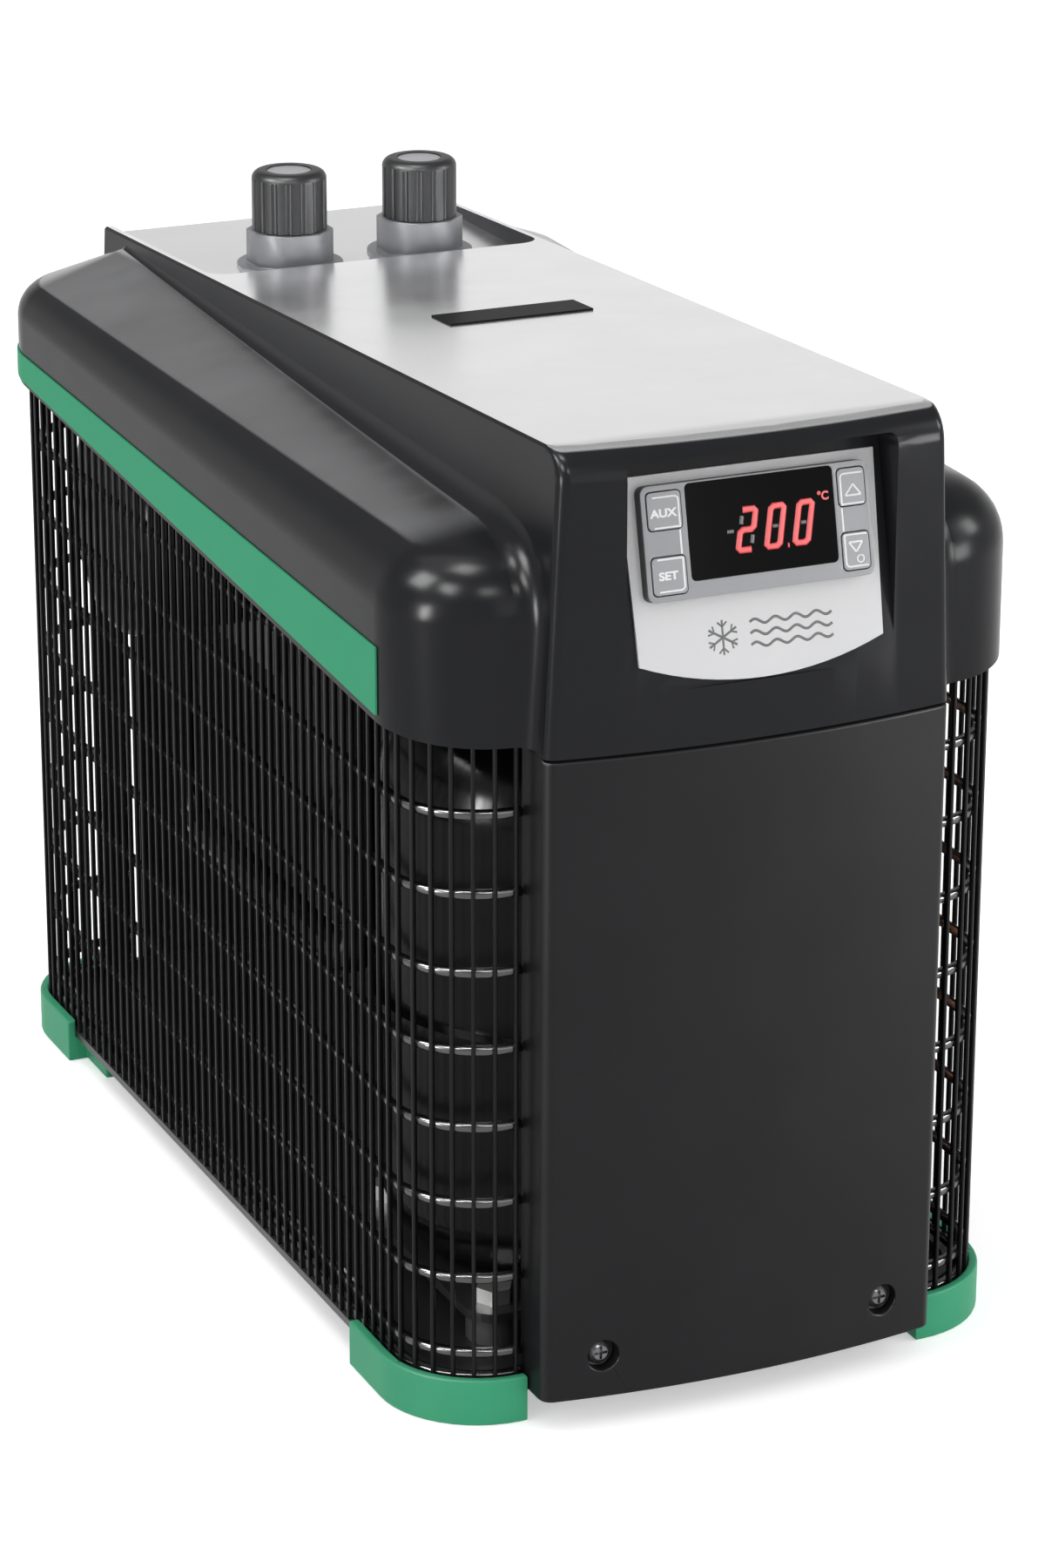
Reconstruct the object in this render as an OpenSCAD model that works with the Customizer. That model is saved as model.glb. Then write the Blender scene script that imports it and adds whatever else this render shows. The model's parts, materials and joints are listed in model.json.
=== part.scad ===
// Water chiller with side grilles, a moulded hood and two hose fittings.
// Origin: middle of the footprint, on the floor. X right, Y back, Z up. Millimetres.

/* [Casing] */
// Width across the two side grilles
body_w = 200; // [192:1:208]
// Depth of the grille cage from front to back
body_d = 375; // [365:1:385]
// Outer plan radius of the cage corners
corner_r = 30; // [28:1:32]
// How far the front panel's edge lies inside the start of the corner
panel_inset = 3; // [1.5:0.5:4.5]
// How far the front panel's edges stand ahead of the cage
nose_out = 13; // [11:1:15]
// Crown of the front panel at its middle
nose_bulge = 6; // [5:0.5:7]
// Radius of the front panel's upright edges
nose_edge_r = 4; // [3:0.5:5]
// Wall of the moulded panels
wall = 2.5; // [2:0.1:3]
// Height of the joint between front panel and hood
seam_z = 218; // [214:1:221]
// Height of the tray's underside above the floor
tray_z = 9; // [8:0.5:10]
// Thickness of the tray's floor
tray_t = 2.5; // [2:0.1:3]
// Height of the tray's rim above its floor
tray_rim = 3.5; // [3:0.1:3.8]
// How far the rear panel's edge lies inside the start of the corner
rear_inset = 14; // [12:1:16]
// How far the cable gland stands out behind the cage
gland_out = 10; // [8:0.5:12]

/* [Feet] */
// How far a foot stands proud of the cage
foot_out = 3; // [2.5:0.1:3.5]
// Height of a foot's strip
foot_h = 15.3; // [14:0.1:16]
// Length of a foot's strip past the corner, along the side
foot_arm = 25; // [22:1:28]
// Depth of a foot's pad under the tray
foot_pad = 22; // [18:1:26]
// Reach of the rear pads past the end of their strip
foot_reach = 20; // [15:1:22]

/* [Grille] */
// Height of the lowest cross rail's middle
rail_low_z = 22.2; // [21:0.1:24]
// Spacing of the cross rails
rail_pitch = 25.05; // [24.5:0.05:25.3]
// Number of cross rails
rail_count = 10; // [9:1:10]
// Height of a cross rail
rail_h = 3; // [2.5:0.1:3.5]
// Thickness of a cross rail
rail_t = 2.5; // [2:0.1:3]
// Spacing of the upright ribs on the straight sides
rib_pitch = 6.7; // [6.5:0.05:7]
// Width of an upright rib
rib_w = 1.9; // [1.8:0.1:2.2]
// Depth of an upright rib
rib_t = 2.6; // [2.3:0.1:2.8]
// Gaps between ribs round each corner
corner_gaps = 7; // [6:1:8]

/* [Hood] */
// How far the hood's skirt stands outside the cage
hood_over = 3; // [3:0.1:3.5]
// Height of the skirt's lower edge at the front
skirt_front_z = 219.8; // [218.5:0.1:221]
// Height of the skirt's lower edge at the back
skirt_rear_z = 247.5; // [245:0.5:248.5]
// Height of the shoulder's outer edge at the front
shoulder_front_z = 277; // [275:1:279]
// Height of the shoulder's outer edge at the back
shoulder_rear_z = 280; // [278:1:281]
// Radius of the shoulder's outer edge at the front
shoulder_r = 20; // [18:1:22]
// Radius of the shoulder's outer edge at the back
shoulder_rear_r = 12; // [10:1:14]
// Outward slope of the shoulder at the front, in degrees
slope_front = 9; // [7:1:11]
// Outward slope of the shoulder at the back, in degrees
slope_rear = 18; // [15:1:19]
// Height of the deck at its front edge
deck_front_z = 310; // [308:1:312]
// Height of the deck at its rear edge
deck_rear_z = 292; // [291:0.5:293]
// How far the spine's side walls lean in towards the deck
deck_lean = 4.5; // [3.5:0.5:5.5]
// Radius of the deck's front edge
deck_edge_r = 10; // [8:1:12]
// Height of the level floor of the rear pocket
pocket_z = 290; // [289:0.5:290.5]
// Width of the rim beside the rear pocket
pocket_rim = 2; // [1.6:0.1:2.5]
// Radius of the hollow fillet between shoulder and spine, at the front
fillet_front = 8; // [6:0.5:9]
// Radius of that fillet at the back
fillet_rear = 2; // [1.5:0.5:3]
// Chamfer along the deck's side edges
deck_chamfer = 0.8; // [0.6:0.1:1.2]
// Distance of the pocket's front edge ahead of the fittings
pocket_ahead = 22; // [21:1:26]
// Width of the name badge
badge_w = 50; // [46:1:54]
// Depth of the name badge
badge_d = 13; // [11:1:15]
// Thickness of the badge and the side stripes
trim_t = 0.6; // [0.4:0.1:0.8]
// Height of the side stripe at its front end
stripe_h_front = 21; // [19:1:22]
// Height of the side stripe at its rear end
stripe_h_rear = 8; // [7:0.5:9]

/* [Controls] */
// Backward tilt of the label from upright, in degrees
label_tilt = 12.9; // [11:0.1:14]
// Width of the label plate
label_w = 83; // [80:1:85]
// Thickness of the label plate
label_t = 1; // [0.8:0.1:1.2]
// Width of the controller's bezel
bezel_w = 74; // [73:0.5:75]
// Height of the controller's bezel
bezel_h = 34; // [33:0.5:35]
// How far the bezel stands off the label
bezel_t = 4; // [3.6:0.1:4.5]
// Depth of the controller behind the label
controller_d = 55; // [50:1:58]
// Width of the display window
window_w = 48; // [46:0.5:49]
// Height of the display window
window_h = 28.5; // [27:0.5:29]
// Play round a key
key_gap = 0.3; // [0.25:0.05:0.4]
// How far a key stands above the bezel
key_proud = 0.3; // [0.25:0.05:0.5]
// How far a key can be pushed
key_travel = 0.5; // [0.4:0.05:0.5]

/* [Fittings] */
// Half distance between the two hose fittings
fitting_x = 24; // [22:0.5:26]
// Distance of the fittings ahead of the cage's rear face
fitting_from_rear = 82.5; // [80:0.5:85]
// Radius of a fitting's flange
flange_r = 18.2; // [17:0.1:19]
// Thickness of a fitting's flange
flange_t = 2.3; // [2:0.1:2.6]
// Thickness of the rubber gasket
gasket_t = 1.4; // [1.2:0.1:1.8]
// Radius of the octagon's corners
octagon_r = 14.8; // [14.3:0.1:15.3]
// Height of the octagon
octagon_h = 11.5; // [10:0.5:13]
// Outer radius of the ring nut
ring_r = 12.8; // [12.4:0.1:13.2]
// Height of the ring nut
ring_h = 20; // [18:0.5:22]
// Grooves round the ring nut
ring_grooves = 16; // [14:1:18]
// Radius of the fitting's stem
stem_r = 8; // [7.5:0.1:8.4]
// Radius of the water way through the fitting
water_r = 5.5; // [5:0.1:6]
// Radius of the light plug in the ring nut
plug_r = 7.5; // [7:0.1:7.8]

/* [Inside] */
// Radius of the compressor's shell
compressor_r = 58; // [55:1:60]
// Height of the compressor's shell
compressor_h = 188; // [180:1:192]
// Thickness of the rubber mounts under the compressor
grommet_h = 9; // [8:0.5:10]
// Radius of the evaporator barrel
evaporator_r = 40; // [38:0.5:41]
// Length of the evaporator barrel
evaporator_l = 176; // [170:1:178]
// Depth of the condenser coil in the air's direction
coil_t = 28; // [26:1:30]
// Length of the condenser coil
coil_l = 148; // [144:1:150]
// Height of the condenser coil
coil_h = 148; // [144:1:150]
// Spacing of the condenser fins
fin_pitch = 4; // [3.8:0.1:4.4]
// Radius of the condenser tubes
coil_tube_r = 4; // [3.5:0.1:4.5]
// Radius of the fan over its blades
fan_r = 62; // [58:1:63]
// Number of fan blades
blade_count = 5; // [4:1:6]
// Radius of the fan's shaft
shaft_r = 3; // [2.5:0.1:3.5]
// Running clearance of the shaft in the motor
shaft_gap = 0.05; // [0.03:0.01:0.08]
// Radius of the hot gas and liquid pipes
pipe_r = 3; // [2.5:0.1:3.5]
// Radius of the insulated suction pipe
suction_r = 6; // [5:0.5:6.5]

/* [Hidden] */
$fn = 64;

// The cage, centred so that the whole outline, with the gland's tip, has its middle at the origin
total_d = nose_bulge + nose_out + body_d + gland_out;
cage_front = -total_d / 2 + nose_bulge + nose_out;
cage_rear = cage_front + body_d;
cage_half = body_w / 2;
panel_half = cage_half - corner_r - panel_inset;
rear_half = cage_half - corner_r - rear_inset;
deck_half = panel_half - deck_lean;
pocket_half = deck_half - pocket_rim;
floor_z = tray_z + tray_t;
rail_top_z = rail_low_z + (rail_count - 1) * rail_pitch;
cage_top = rail_top_z + rail_h / 2;
slack = 0.3;
spine_short = 8;
fillet_steps = 7;
fillet_sink = 0.02;
corner_steps = 14;
side_steps = 20;

// The crowned nose is part of a large upright cylinder
nose_r = (panel_half * panel_half + nose_bulge * nose_bulge) / (2 * nose_bulge);
nose_front = cage_front - nose_out - nose_bulge;
nose_cy = nose_front + nose_r;

// The deck falls and the shoulders rise towards the back
hood_half = cage_half + hood_over;
hood_front = cage_front - hood_over;
hood_rear = cage_rear + hood_over;
hood_r = corner_r + hood_over;
deck_y0 = nose_front + nose_bulge + deck_edge_r + 1;
deck_slope = atan((deck_front_z - deck_rear_z) / (hood_rear - deck_y0));
function deck_z(y) = deck_front_z - (y - deck_y0) * tan(deck_slope);
function skirt_z(y) = skirt_front_z
    + (skirt_rear_z - skirt_front_z) * (y - hood_front) / (hood_rear - hood_front);

// The label lies on a plane tilted back from the nose
label_x = 1;
label_z = 270;
label_set = 7.6;
label_y = nose_front + label_set;
label_top = 29;
label_corner = -26.5;
label_low = -34.2;
bezel_y = 9;
window_x = 1.3;
window_y = 11.2;
cut_w = bezel_w - 3;
cut_h = bezel_h - 5;

// Fittings
fitting_y = cage_rear - fitting_from_rear;
flange_z = pocket_z + gasket_t;
octagon_z = flange_z + flange_t;
ring_z = octagon_z + octagon_h + slack;
ring_top = ring_z + ring_h;
nut_gap = 0.08;

// Inside
compressor_x = -20;
compressor_y = cage_front + 77;
plate_z = floor_z + grommet_h;
shell_z = plate_z + 3;
bolt_dx = 42;
bolt_dy = 42;
evaporator_y = fitting_y + 15;
saddle_x = 32;
evaporator_z = cage_top - 5.5 - evaporator_r;
coil_x = 38;
coil_y = cage_front + 129.5;
coil_z = floor_z + 8.5;
fan_y = coil_y + coil_l / 2;
fan_z = coil_z + coil_h / 2;
fan_x = coil_x - 24;
fan_depth = 17;
motor_r = 22;
motor_l = 34;
motor_x = fan_x - 6 - motor_l;
drier_x = 72;
drier_y = compressor_y - 20;
drier_z = 62;
drier_r = 9.5;
drier_l = 90;
screw_x = 48;
screw_z = 24;
gland_x = 30;
gland_z = 60;

// Points along an arc about c, from angle a0 to a1 in n steps
function arc(c, r, a0, a1, n) = [for (i = [0 : n])
    [c[0] + r * cos(a0 + (a1 - a0) * i / n), c[1] + r * sin(a0 + (a1 - a0) * i / n)]];

// The same points from last to first
function backwards(p) = [for (i = [len(p) - 1 : -1 : 0]) p[i]];

// Rounded rectangle with half width w between y0 and y1
function round_box(w, y0, y1, r, n) = concat(
    arc([w - r, y1 - r], r, 0, 90, n), arc([r - w, y1 - r], r, 90, 180, n),
    arc([r - w, y0 + r], r, 180, 270, n), arc([w - r, y0 + r], r, 270, 360, n));

// Outline of the nose, half width w, set back by s, running from the right rear to the left rear
function nose_line(w, s, back) =
    let (cx = w - nose_edge_r,
        cy = nose_cy - sqrt(pow(nose_r - s - nose_edge_r, 2) - cx * cx),
        a = atan2(cy - nose_cy, cx))
    concat([[w, back]], arc([cx, cy], nose_edge_r, 0, a, 4),
        [for (p = arc([0, nose_cy], nose_r - s, a, -180 - a, 16)) p],
        arc([-cx, cy], nose_edge_r, -180 - a, -180, 4), [[-w, back]]);

// Centre line of the left grille, set in by t: front end, corner, side, corner, rear end
function cage_line(t) = concat([[-panel_half - 0.6, cage_front + t]],
    arc([corner_r - cage_half, cage_front + corner_r], corner_r - t, 270, 180, 2 * corner_gaps),
    arc([corner_r - cage_half, cage_rear - corner_r], corner_r - t, 180, 90, 2 * corner_gaps),
    [[-rear_half, cage_rear - t]]);

// A straight prism of an outline between two heights
module prism(points, z0, z1) {
    translate([0, 0, z0]) linear_extrude(z1 - z0) polygon(points);
}

// The right-hand twin of a left-hand piece
module right_twin() {
    mirror([1, 0, 0]) children();
}

// Closed solid over rings of points, each anticlockwise as seen from the last one
module skin(rings) {
    n = len(rings[0]);
    last = len(rings) - 1;
    polyhedron([for (r = rings) for (p = r) p], concat([[for (j = [0 : n - 1]) j]],
        [for (i = [0 : last - 1]) for (j = [0 : n - 1])
            [i * n + j, (i + 1) * n + j, (i + 1) * n + (j + 1) % n, i * n + (j + 1) % n]],
        [[for (j = [n - 1 : -1 : 0]) last * n + j]]), convexity = 8);
}

function unit(v) = v / norm(v);

// One closed tube of radius r along a list of points, with n sides
module sweep_tube(path, r, n) {
    last = len(path) - 1;
    along = [for (i = [0 : last]) unit(path[min(i + 1, last)] - path[max(i - 1, 0)])];
    first = unit(cross(along[0], abs(along[0][2]) > 0.8 ? [0, 1, 0] : [0, 0, 1]));
    steady = steady_sides(along, first, 0);
    skin([for (i = [0 : last]) [for (j = [0 : n - 1])
        path[i] + r * (cos(360 * j / n) * steady[i] + sin(360 * j / n) * cross(along[i], steady[i]))]]);
}

// Side vectors that turn as little as possible from ring to ring
function steady_sides(along, s, i) = i >= len(along) ? [] :
    let (u = unit(s - (s * along[i]) * along[i]))
    concat([u], steady_sides(along, u, i + 1));

// A smooth curve through hand-set points, k steps between each pair
function smooth(p, k) = [for (i = [0 : len(p) - 2]) for (j = [0 : (i == len(p) - 2 ? k : k - 1)])
    let (t = j / k, a = p[max(i - 1, 0)], b = p[i], c = p[i + 1], d = p[min(i + 2, len(p) - 1)])
    0.5 * (2 * b + (c - a) * t + (2 * a - 5 * b + 4 * c - d) * t * t
        + (3 * b - a - 3 * c + d) * t * t * t)];

// Drip tray that everything stands on, with an upright tab behind the front panel's screws
module base_tray() {
    color("#1b1b1d") difference() {
        union() {
            prism(round_box(cage_half, cage_front, cage_rear, corner_r, 12), tray_z, floor_z);
            prism(round_box(cage_half - rail_t - rib_t - slack, cage_front + rail_t + rib_t + slack,
                cage_rear - rail_t - rib_t - slack, corner_r - rail_t - rib_t - slack, 12),
                floor_z - 1, floor_z + tray_rim);
            prism(nose_line(panel_half - wall - slack, wall + slack, cage_front + 10), tray_z, floor_z);
            translate([-screw_x - 12, cage_front - 8, tray_z]) cube([2 * screw_x + 24, 3, screw_z]);
        }
        prism(round_box(cage_half - 2 * rail_t - rib_t - slack, cage_front + 2 * rail_t + rib_t + slack,
            cage_rear - 2 * rail_t - rib_t - slack, corner_r - 2 * rail_t - rib_t - slack, 12),
            floor_z, floor_z + tray_rim + 1);
        for (x = [-screw_x, screw_x]) translate([x, cage_front - 4, screw_z]) rotate([90, 0, 0])
            cylinder(r = 1.9, h = 8);
    }
}

// Moulded foot: a strip wrapped round the corner and a pad under the tray
module foot(reach) {
    arm_y = corner_r + foot_arm;
    outer = concat([[panel_half + 0.6 - cage_half, -foot_out]],
        arc([corner_r - cage_half, corner_r], corner_r + foot_out, 270, 180, 12),
        [[-cage_half - foot_out, arm_y]]);
    color("#3da077") {
        difference() {
            prism(concat([[-panel_half - 0.6, -foot_out]],
                arc([corner_r - cage_half, corner_r], corner_r + foot_out, 270, 180, 12),
                [[-cage_half - foot_out, arm_y], [foot_pad - cage_half, arm_y],
                    [foot_pad - cage_half + 10, foot_pad + 12], [-panel_half - 0.6, foot_pad]]), 0, foot_h);
            prism(concat([[-panel_half + 20, 0]],
                arc([corner_r - cage_half, corner_r], corner_r, 270, 180, 12),
                [[-cage_half, arm_y + 30], [-panel_half + 20, arm_y + 30]]), tray_z, foot_h + 1);
        }
        if (reach > 0) translate([4 - cage_half, arm_y, 0]) cube([foot_pad - 4, reach, tray_z]);
    }
}

module foot_front_left() {
    translate([0, cage_front, 0]) foot(0);
}

module foot_front_right() {
    right_twin() foot_front_left();
}

module foot_rear_left() {
    translate([0, cage_rear, 0]) mirror([0, 1, 0]) foot(foot_reach);
}

module foot_rear_right() {
    right_twin() foot_rear_left();
}

// Side grille: upright ribs outside of flat cross rails, wrapped round both corners
module grille() {
    straight = body_d - 2 * corner_r;
    gaps = round(straight / rib_pitch);
    step = straight / gaps;
    rail_in = rib_t - 0.8;
    color("#202022") {
        translate([0, 0, floor_z]) linear_extrude(cage_top - floor_z) {
            for (i = [0 : gaps])
                translate([-cage_half, cage_front + corner_r + i * step - rib_w / 2]) square([rib_t, rib_w]);
            for (i = [1 : corner_gaps]) {
                translate([corner_r - cage_half, cage_front + corner_r]) rotate(180 + 90 * i / corner_gaps)
                    translate([corner_r - rib_t, -rib_w / 2]) square([rib_t, rib_w]);
                translate([corner_r - cage_half, cage_rear - corner_r]) rotate(180 - 90 * i / corner_gaps)
                    translate([corner_r - rib_t, -rib_w / 2]) square([rib_t, rib_w]);
            }
            translate([-rear_half - 3, cage_rear - rib_t]) square([3, rib_t]);
            translate([-rear_half - 3 - rib_pitch, cage_rear - rib_t]) square([rib_w, rib_t]);
        }
        prism(concat(cage_line(rail_in), backwards(cage_line(rail_in + rail_t))), floor_z, floor_z + 4);
        for (i = [0 : rail_count - 1])
            prism(concat(cage_line(rail_in), backwards(cage_line(rail_in + rail_t))),
                rail_low_z + i * rail_pitch - rail_h / 2, rail_low_z + i * rail_pitch + rail_h / 2);
    }
}

module grille_left() {
    grille();
}

module grille_right() {
    right_twin() grille();
}

// Crowned front panel with side returns and two screw bosses
module front_panel() {
    back = cage_front + 4;
    low = tray_z + 1;
    color("#2c2d30") difference() {
        union() {
            difference() {
                prism(nose_line(panel_half, 0, back), low, seam_z);
                prism(nose_line(panel_half - wall, wall, back + 1), low - 1, seam_z + 1);
            }
            for (x = [-screw_x, screw_x]) translate([x, cage_front - 8, screw_z]) rotate([90, 0, 0])
                cylinder(r = 7, h = nose_out - 6.4);
        }
        translate([-panel_half - 1, cage_front - slack, low - 1])
            cube([2 * panel_half + 2, 10, tray_t + 0.4]);
        for (x = [-screw_x, screw_x]) translate([x, cage_front - 7, screw_z]) rotate([90, 0, 0]) {
            cylinder(r = 2.3, h = nose_out + nose_bulge);
            translate([0, 0, 4.5]) cylinder(r = 5, h = nose_out + nose_bulge);
        }
    }
}

// Cross-head screws in the front panel's recesses
module front_screws() {
    color("#3a3b3e") for (x = [-screw_x, screw_x])
        translate([x, cage_front - 11.5, screw_z]) rotate([90, 0, 0]) pan_screw(3.5, 1.8, 10);
}

// Pan-head screw with a cross recess, its head's seat at z = 0
module pan_screw(head_r, shank_r, length) {
    difference() {
        union() {
            cylinder(r = head_r, h = 1.2);
            translate([0, 0, 1.2]) cylinder(r1 = head_r, r2 = head_r - 1.2, h = 1);
            translate([0, 0, -length]) cylinder(r = shank_r, h = length + 0.5);
        }
        for (a = [0, 90]) rotate(a) translate([-head_r * 0.62, -0.45, 1]) cube([head_r * 1.24, 0.9, 2]);
    }
}

// Flat rear panel with folded edges, a hole for the cable gland and two screws
module rear_panel() {
    fold = rail_t + rib_t - wall;
    color("#202124") difference() {
        union() {
            translate([-rear_half, cage_rear - wall, floor_z])
                cube([2 * rear_half, wall, skirt_rear_z - 3 - floor_z]);
            for (x = [-rear_half, rear_half - 2]) translate([x, cage_rear - wall - fold, floor_z])
                cube([2, fold + 0.5, skirt_rear_z - 3 - floor_z]);
        }
        translate([gland_x, cage_rear + 1, gland_z]) rotate([90, 0, 0]) cylinder(r = 8.2, h = wall + 2);
        for (x = [-screw_x, screw_x]) translate([x, cage_rear + 1, screw_z]) rotate([90, 0, 0])
            cylinder(r = 2.1, h = wall + 2);
    }
}

module rear_screws() {
    color("#3a3b3e") for (x = [-screw_x, screw_x])
        translate([x, cage_rear, screw_z]) rotate([-90, 0, 0]) pan_screw(3.5, 1.8, 8);
}

// Steel posts from the tray to the hood
module uprights_front() {
    color("#2a2a2c") for (s = [-1, 1])
        translate([s * (panel_half - wall - 4) - 2, cage_front - 3, floor_z])
            cube([4, 3 + rail_t + rib_t, seam_z + 10 - floor_z]);
}

module uprights_rear() {
    color("#2a2a2c") for (s = [-1, 1])
        translate([s * (rear_half + 12.2) - 3.7, cage_rear - 2 * rail_t - rib_t - slack - 4, floor_z])
            cube([7.4, 3, cage_top + 8 - floor_z]);
}

// Spokes of the hood's plan, anticlockwise: centre, direction outwards, and 0 at the front to 1 behind
side_l = hood_rear - hood_front - 2 * hood_r;
function spoke(side, f, a) =
    [side * (hood_half - hood_r), hood_front + hood_r + f * side_l, cos(a), sin(a), f];
function corner_spokes(side, f, a) =
    [for (i = [0 : corner_steps]) spoke(side, f, a + 90 * i / corner_steps)];
spokes = concat(corner_spokes(1, 1, 0), corner_spokes(-1, 1, 90),
    [for (i = [1 : side_steps - 1]) spoke(-1, 1 - i / side_steps, 180)],
    corner_spokes(-1, 0, 180), corner_spokes(1, 0, 270),
    [for (i = [1 : side_steps - 1]) spoke(1, i / side_steps, 0)]);

// Radius, height and slope of the shoulder's outer edge, and height of its crest beside the spine
crest_x = panel_half - 3;
crest_r = 2;
crest_y0 = hood_front + hood_r + 3;
crest_y1 = hood_rear - hood_r + 3;
function edge_r(f) = shoulder_r + (shoulder_rear_r - shoulder_r) * f;
function edge_z(f) = shoulder_front_z + (shoulder_rear_z - shoulder_front_z) * f;
function slope(f) = slope_front + (slope_rear - slope_front) * f;
function crest_z(f) = edge_z(f) - edge_r(f) * (1 - cos(slope(f)))
    + (hood_half - edge_r(f) * (1 - sin(slope(f))) - crest_x) * tan(slope(f));

// Point of the rounded edge at spoke s, a degrees up it, and point of the crest, both set in by t
function edge_point(s, a, t) =
    let (reach = hood_r - t - edge_r(s[4]) * (1 - cos(a)))
    [s[0] + reach * s[2], s[1] + reach * s[3], edge_z(s[4]) - t - edge_r(s[4]) * (1 - sin(a))];
function crest_point(s, t) = [sign(s[0]) * (crest_x - crest_r) + crest_r * s[2],
    crest_y0 + (crest_y1 - crest_y0) * s[4] + crest_r * s[3], crest_z(s[4]) - t];

// The lower, wide form of the hood, set in by t, its edge rounded in so many steps
module shoulder_form(t, steps) {
    foot = [for (s = spokes) let (p = edge_point(s, 0, t)) [p[0], p[1], seam_z - 20]];
    skin(concat([foot],
        [for (k = [0 : steps]) [for (s = spokes) edge_point(s, (90 - slope(s[4])) * k / steps, t)]],
        [[for (s = spokes) crest_point(s, t)]]));
}

// Half width of the spine's side wall at height z
function spine_half(z) = panel_half - deck_lean * (z - seam_z) / (deck_front_z - seam_z);

// The raised middle of the hood, from the crowned nose to the back, set in by t
module spine_form(t, low, step) {
    back = hood_rear - spine_short - t;
    hull() {
        prism(nose_line(spine_half(low) - t, t, cage_front + 20), low, low + 0.1);
        for (a = [0 : step : 90]) {
            s = deck_edge_r * (1 - cos(a));
            z = deck_front_z - deck_edge_r + deck_edge_r * sin(a) - t;
            edge = max(0, z + t - deck_front_z + deck_chamfer);
            prism(nose_line(spine_half(z) - t - edge, t + s, deck_y0), z - 0.1, z);
        }
        for (k = [[30, 0], [deck_chamfer, 0], [0, deck_chamfer]]) {
            z = deck_z(back) - t - k[0];
            half = spine_half(z) - t - k[1];
            translate([-half, back - 0.1, z - 0.1]) cube([2 * half, 0.1, 0.1]);
        }
    }
}

// Section of the hollow fillet: its ball of radius r touches the shoulder at p, where up is square to
// it, and the spine's leaning wall
function fillet_ring(p, up, r) =
    let (out = unit([deck_front_z - seam_z, 0, deck_lean]), side = unit([1, 0, 0] - up[0] * up),
        start = p + r * up, reach = (r + out * ([panel_half, 0, seam_z] - start)) / (side * out),
        c = start + reach * side)
    concat([for (i = [0 : fillet_steps]) let (t = 90 * i / fillet_steps)
        c - (r + fillet_sink) * unit(up * cos(t) + out * sin(t))], [c - (r + 2) * (up + out)]);

// The fillet's section on the sloping shoulder, on the line from its edge to its crest at spoke s
function shoulder_ring(s, r) =
    let (low = edge_point(s, 90 - slope(s[4]), 0), high = crest_point(s, 0),
        k = (low[0] - spine_half(high[2]) - r) / (low[0] - high[0]),
        rise = (crest_z(1) - crest_z(0)) / (crest_y1 - crest_y0))
    fillet_ring(low + k * (high - low), unit(cross([-s[3], s[2], s[2] * rise], high - low)), r);

// The fillet's section where the shoulder rounds over to the front, a degrees up and then down by drop
function front_ring(a, drop) =
    let (r = fillet_front, z = edge_z(0) - shoulder_r * (1 - sin(a)) - drop,
        reach = hood_r - shoulder_r * (1 - cos(a)),
        b = asin((spine_half(z) + r - hood_half + hood_r) / (reach + r * cos(a))))
    fillet_ring(edge_point(spoke(1, 0, 270 + b), a, 0) - [0, 0, drop],
        [cos(a) * sin(b), -cos(a) * cos(b), sin(a)], r);

// Hollow fillet along the spine's right wall, from the back, over the shoulder's front and down
module spine_fillet() {
    skin(concat(
        [for (i = [0 : 10]) let (f = 1 - i / 10)
            shoulder_ring(spoke(1, f, 0), fillet_front + (fillet_rear - fillet_front) * f)],
        [for (b = [75 : -15 : 30]) shoulder_ring(spoke(1, 0, 270 + b), fillet_front)],
        [for (i = [8 : -1 : 0]) front_ring((90 - slope_front) * i / 8, 0)],
        [front_ring(0, shoulder_front_z - shoulder_r - skirt_front_z - 0.2)]));
}

// Local frame of the label: X right, Y up along the plate, Z outwards, 0 on its face
module on_label() {
    translate([label_x, label_y, label_z]) rotate([90 - label_tilt, 0, 0]) children();
}

// Block with rounded upright corners, half width w, between y0 and y1
module rounded_block(w, y0, y1, r, z0, z1) {
    hull() for (x = [r - w, w - r]) for (y = [y0 + r, y1 - r])
        translate([x, y, z0]) cylinder(r = r, h = z1 - z0, $fn = 32);
}

// Tapered rib that stiffens the pocket's floor from below
rib_out = 46;
module pocket_rib(x) {
    under = pocket_z - wall;
    hull() {
        translate([x - 1, fitting_y - pocket_ahead - 1, under - 9]) cube([2, 2, 9]);
        translate([x - 1, hood_rear - hood_r + 10, under - 4]) cube([2, 2, 4]);
    }
}

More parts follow.
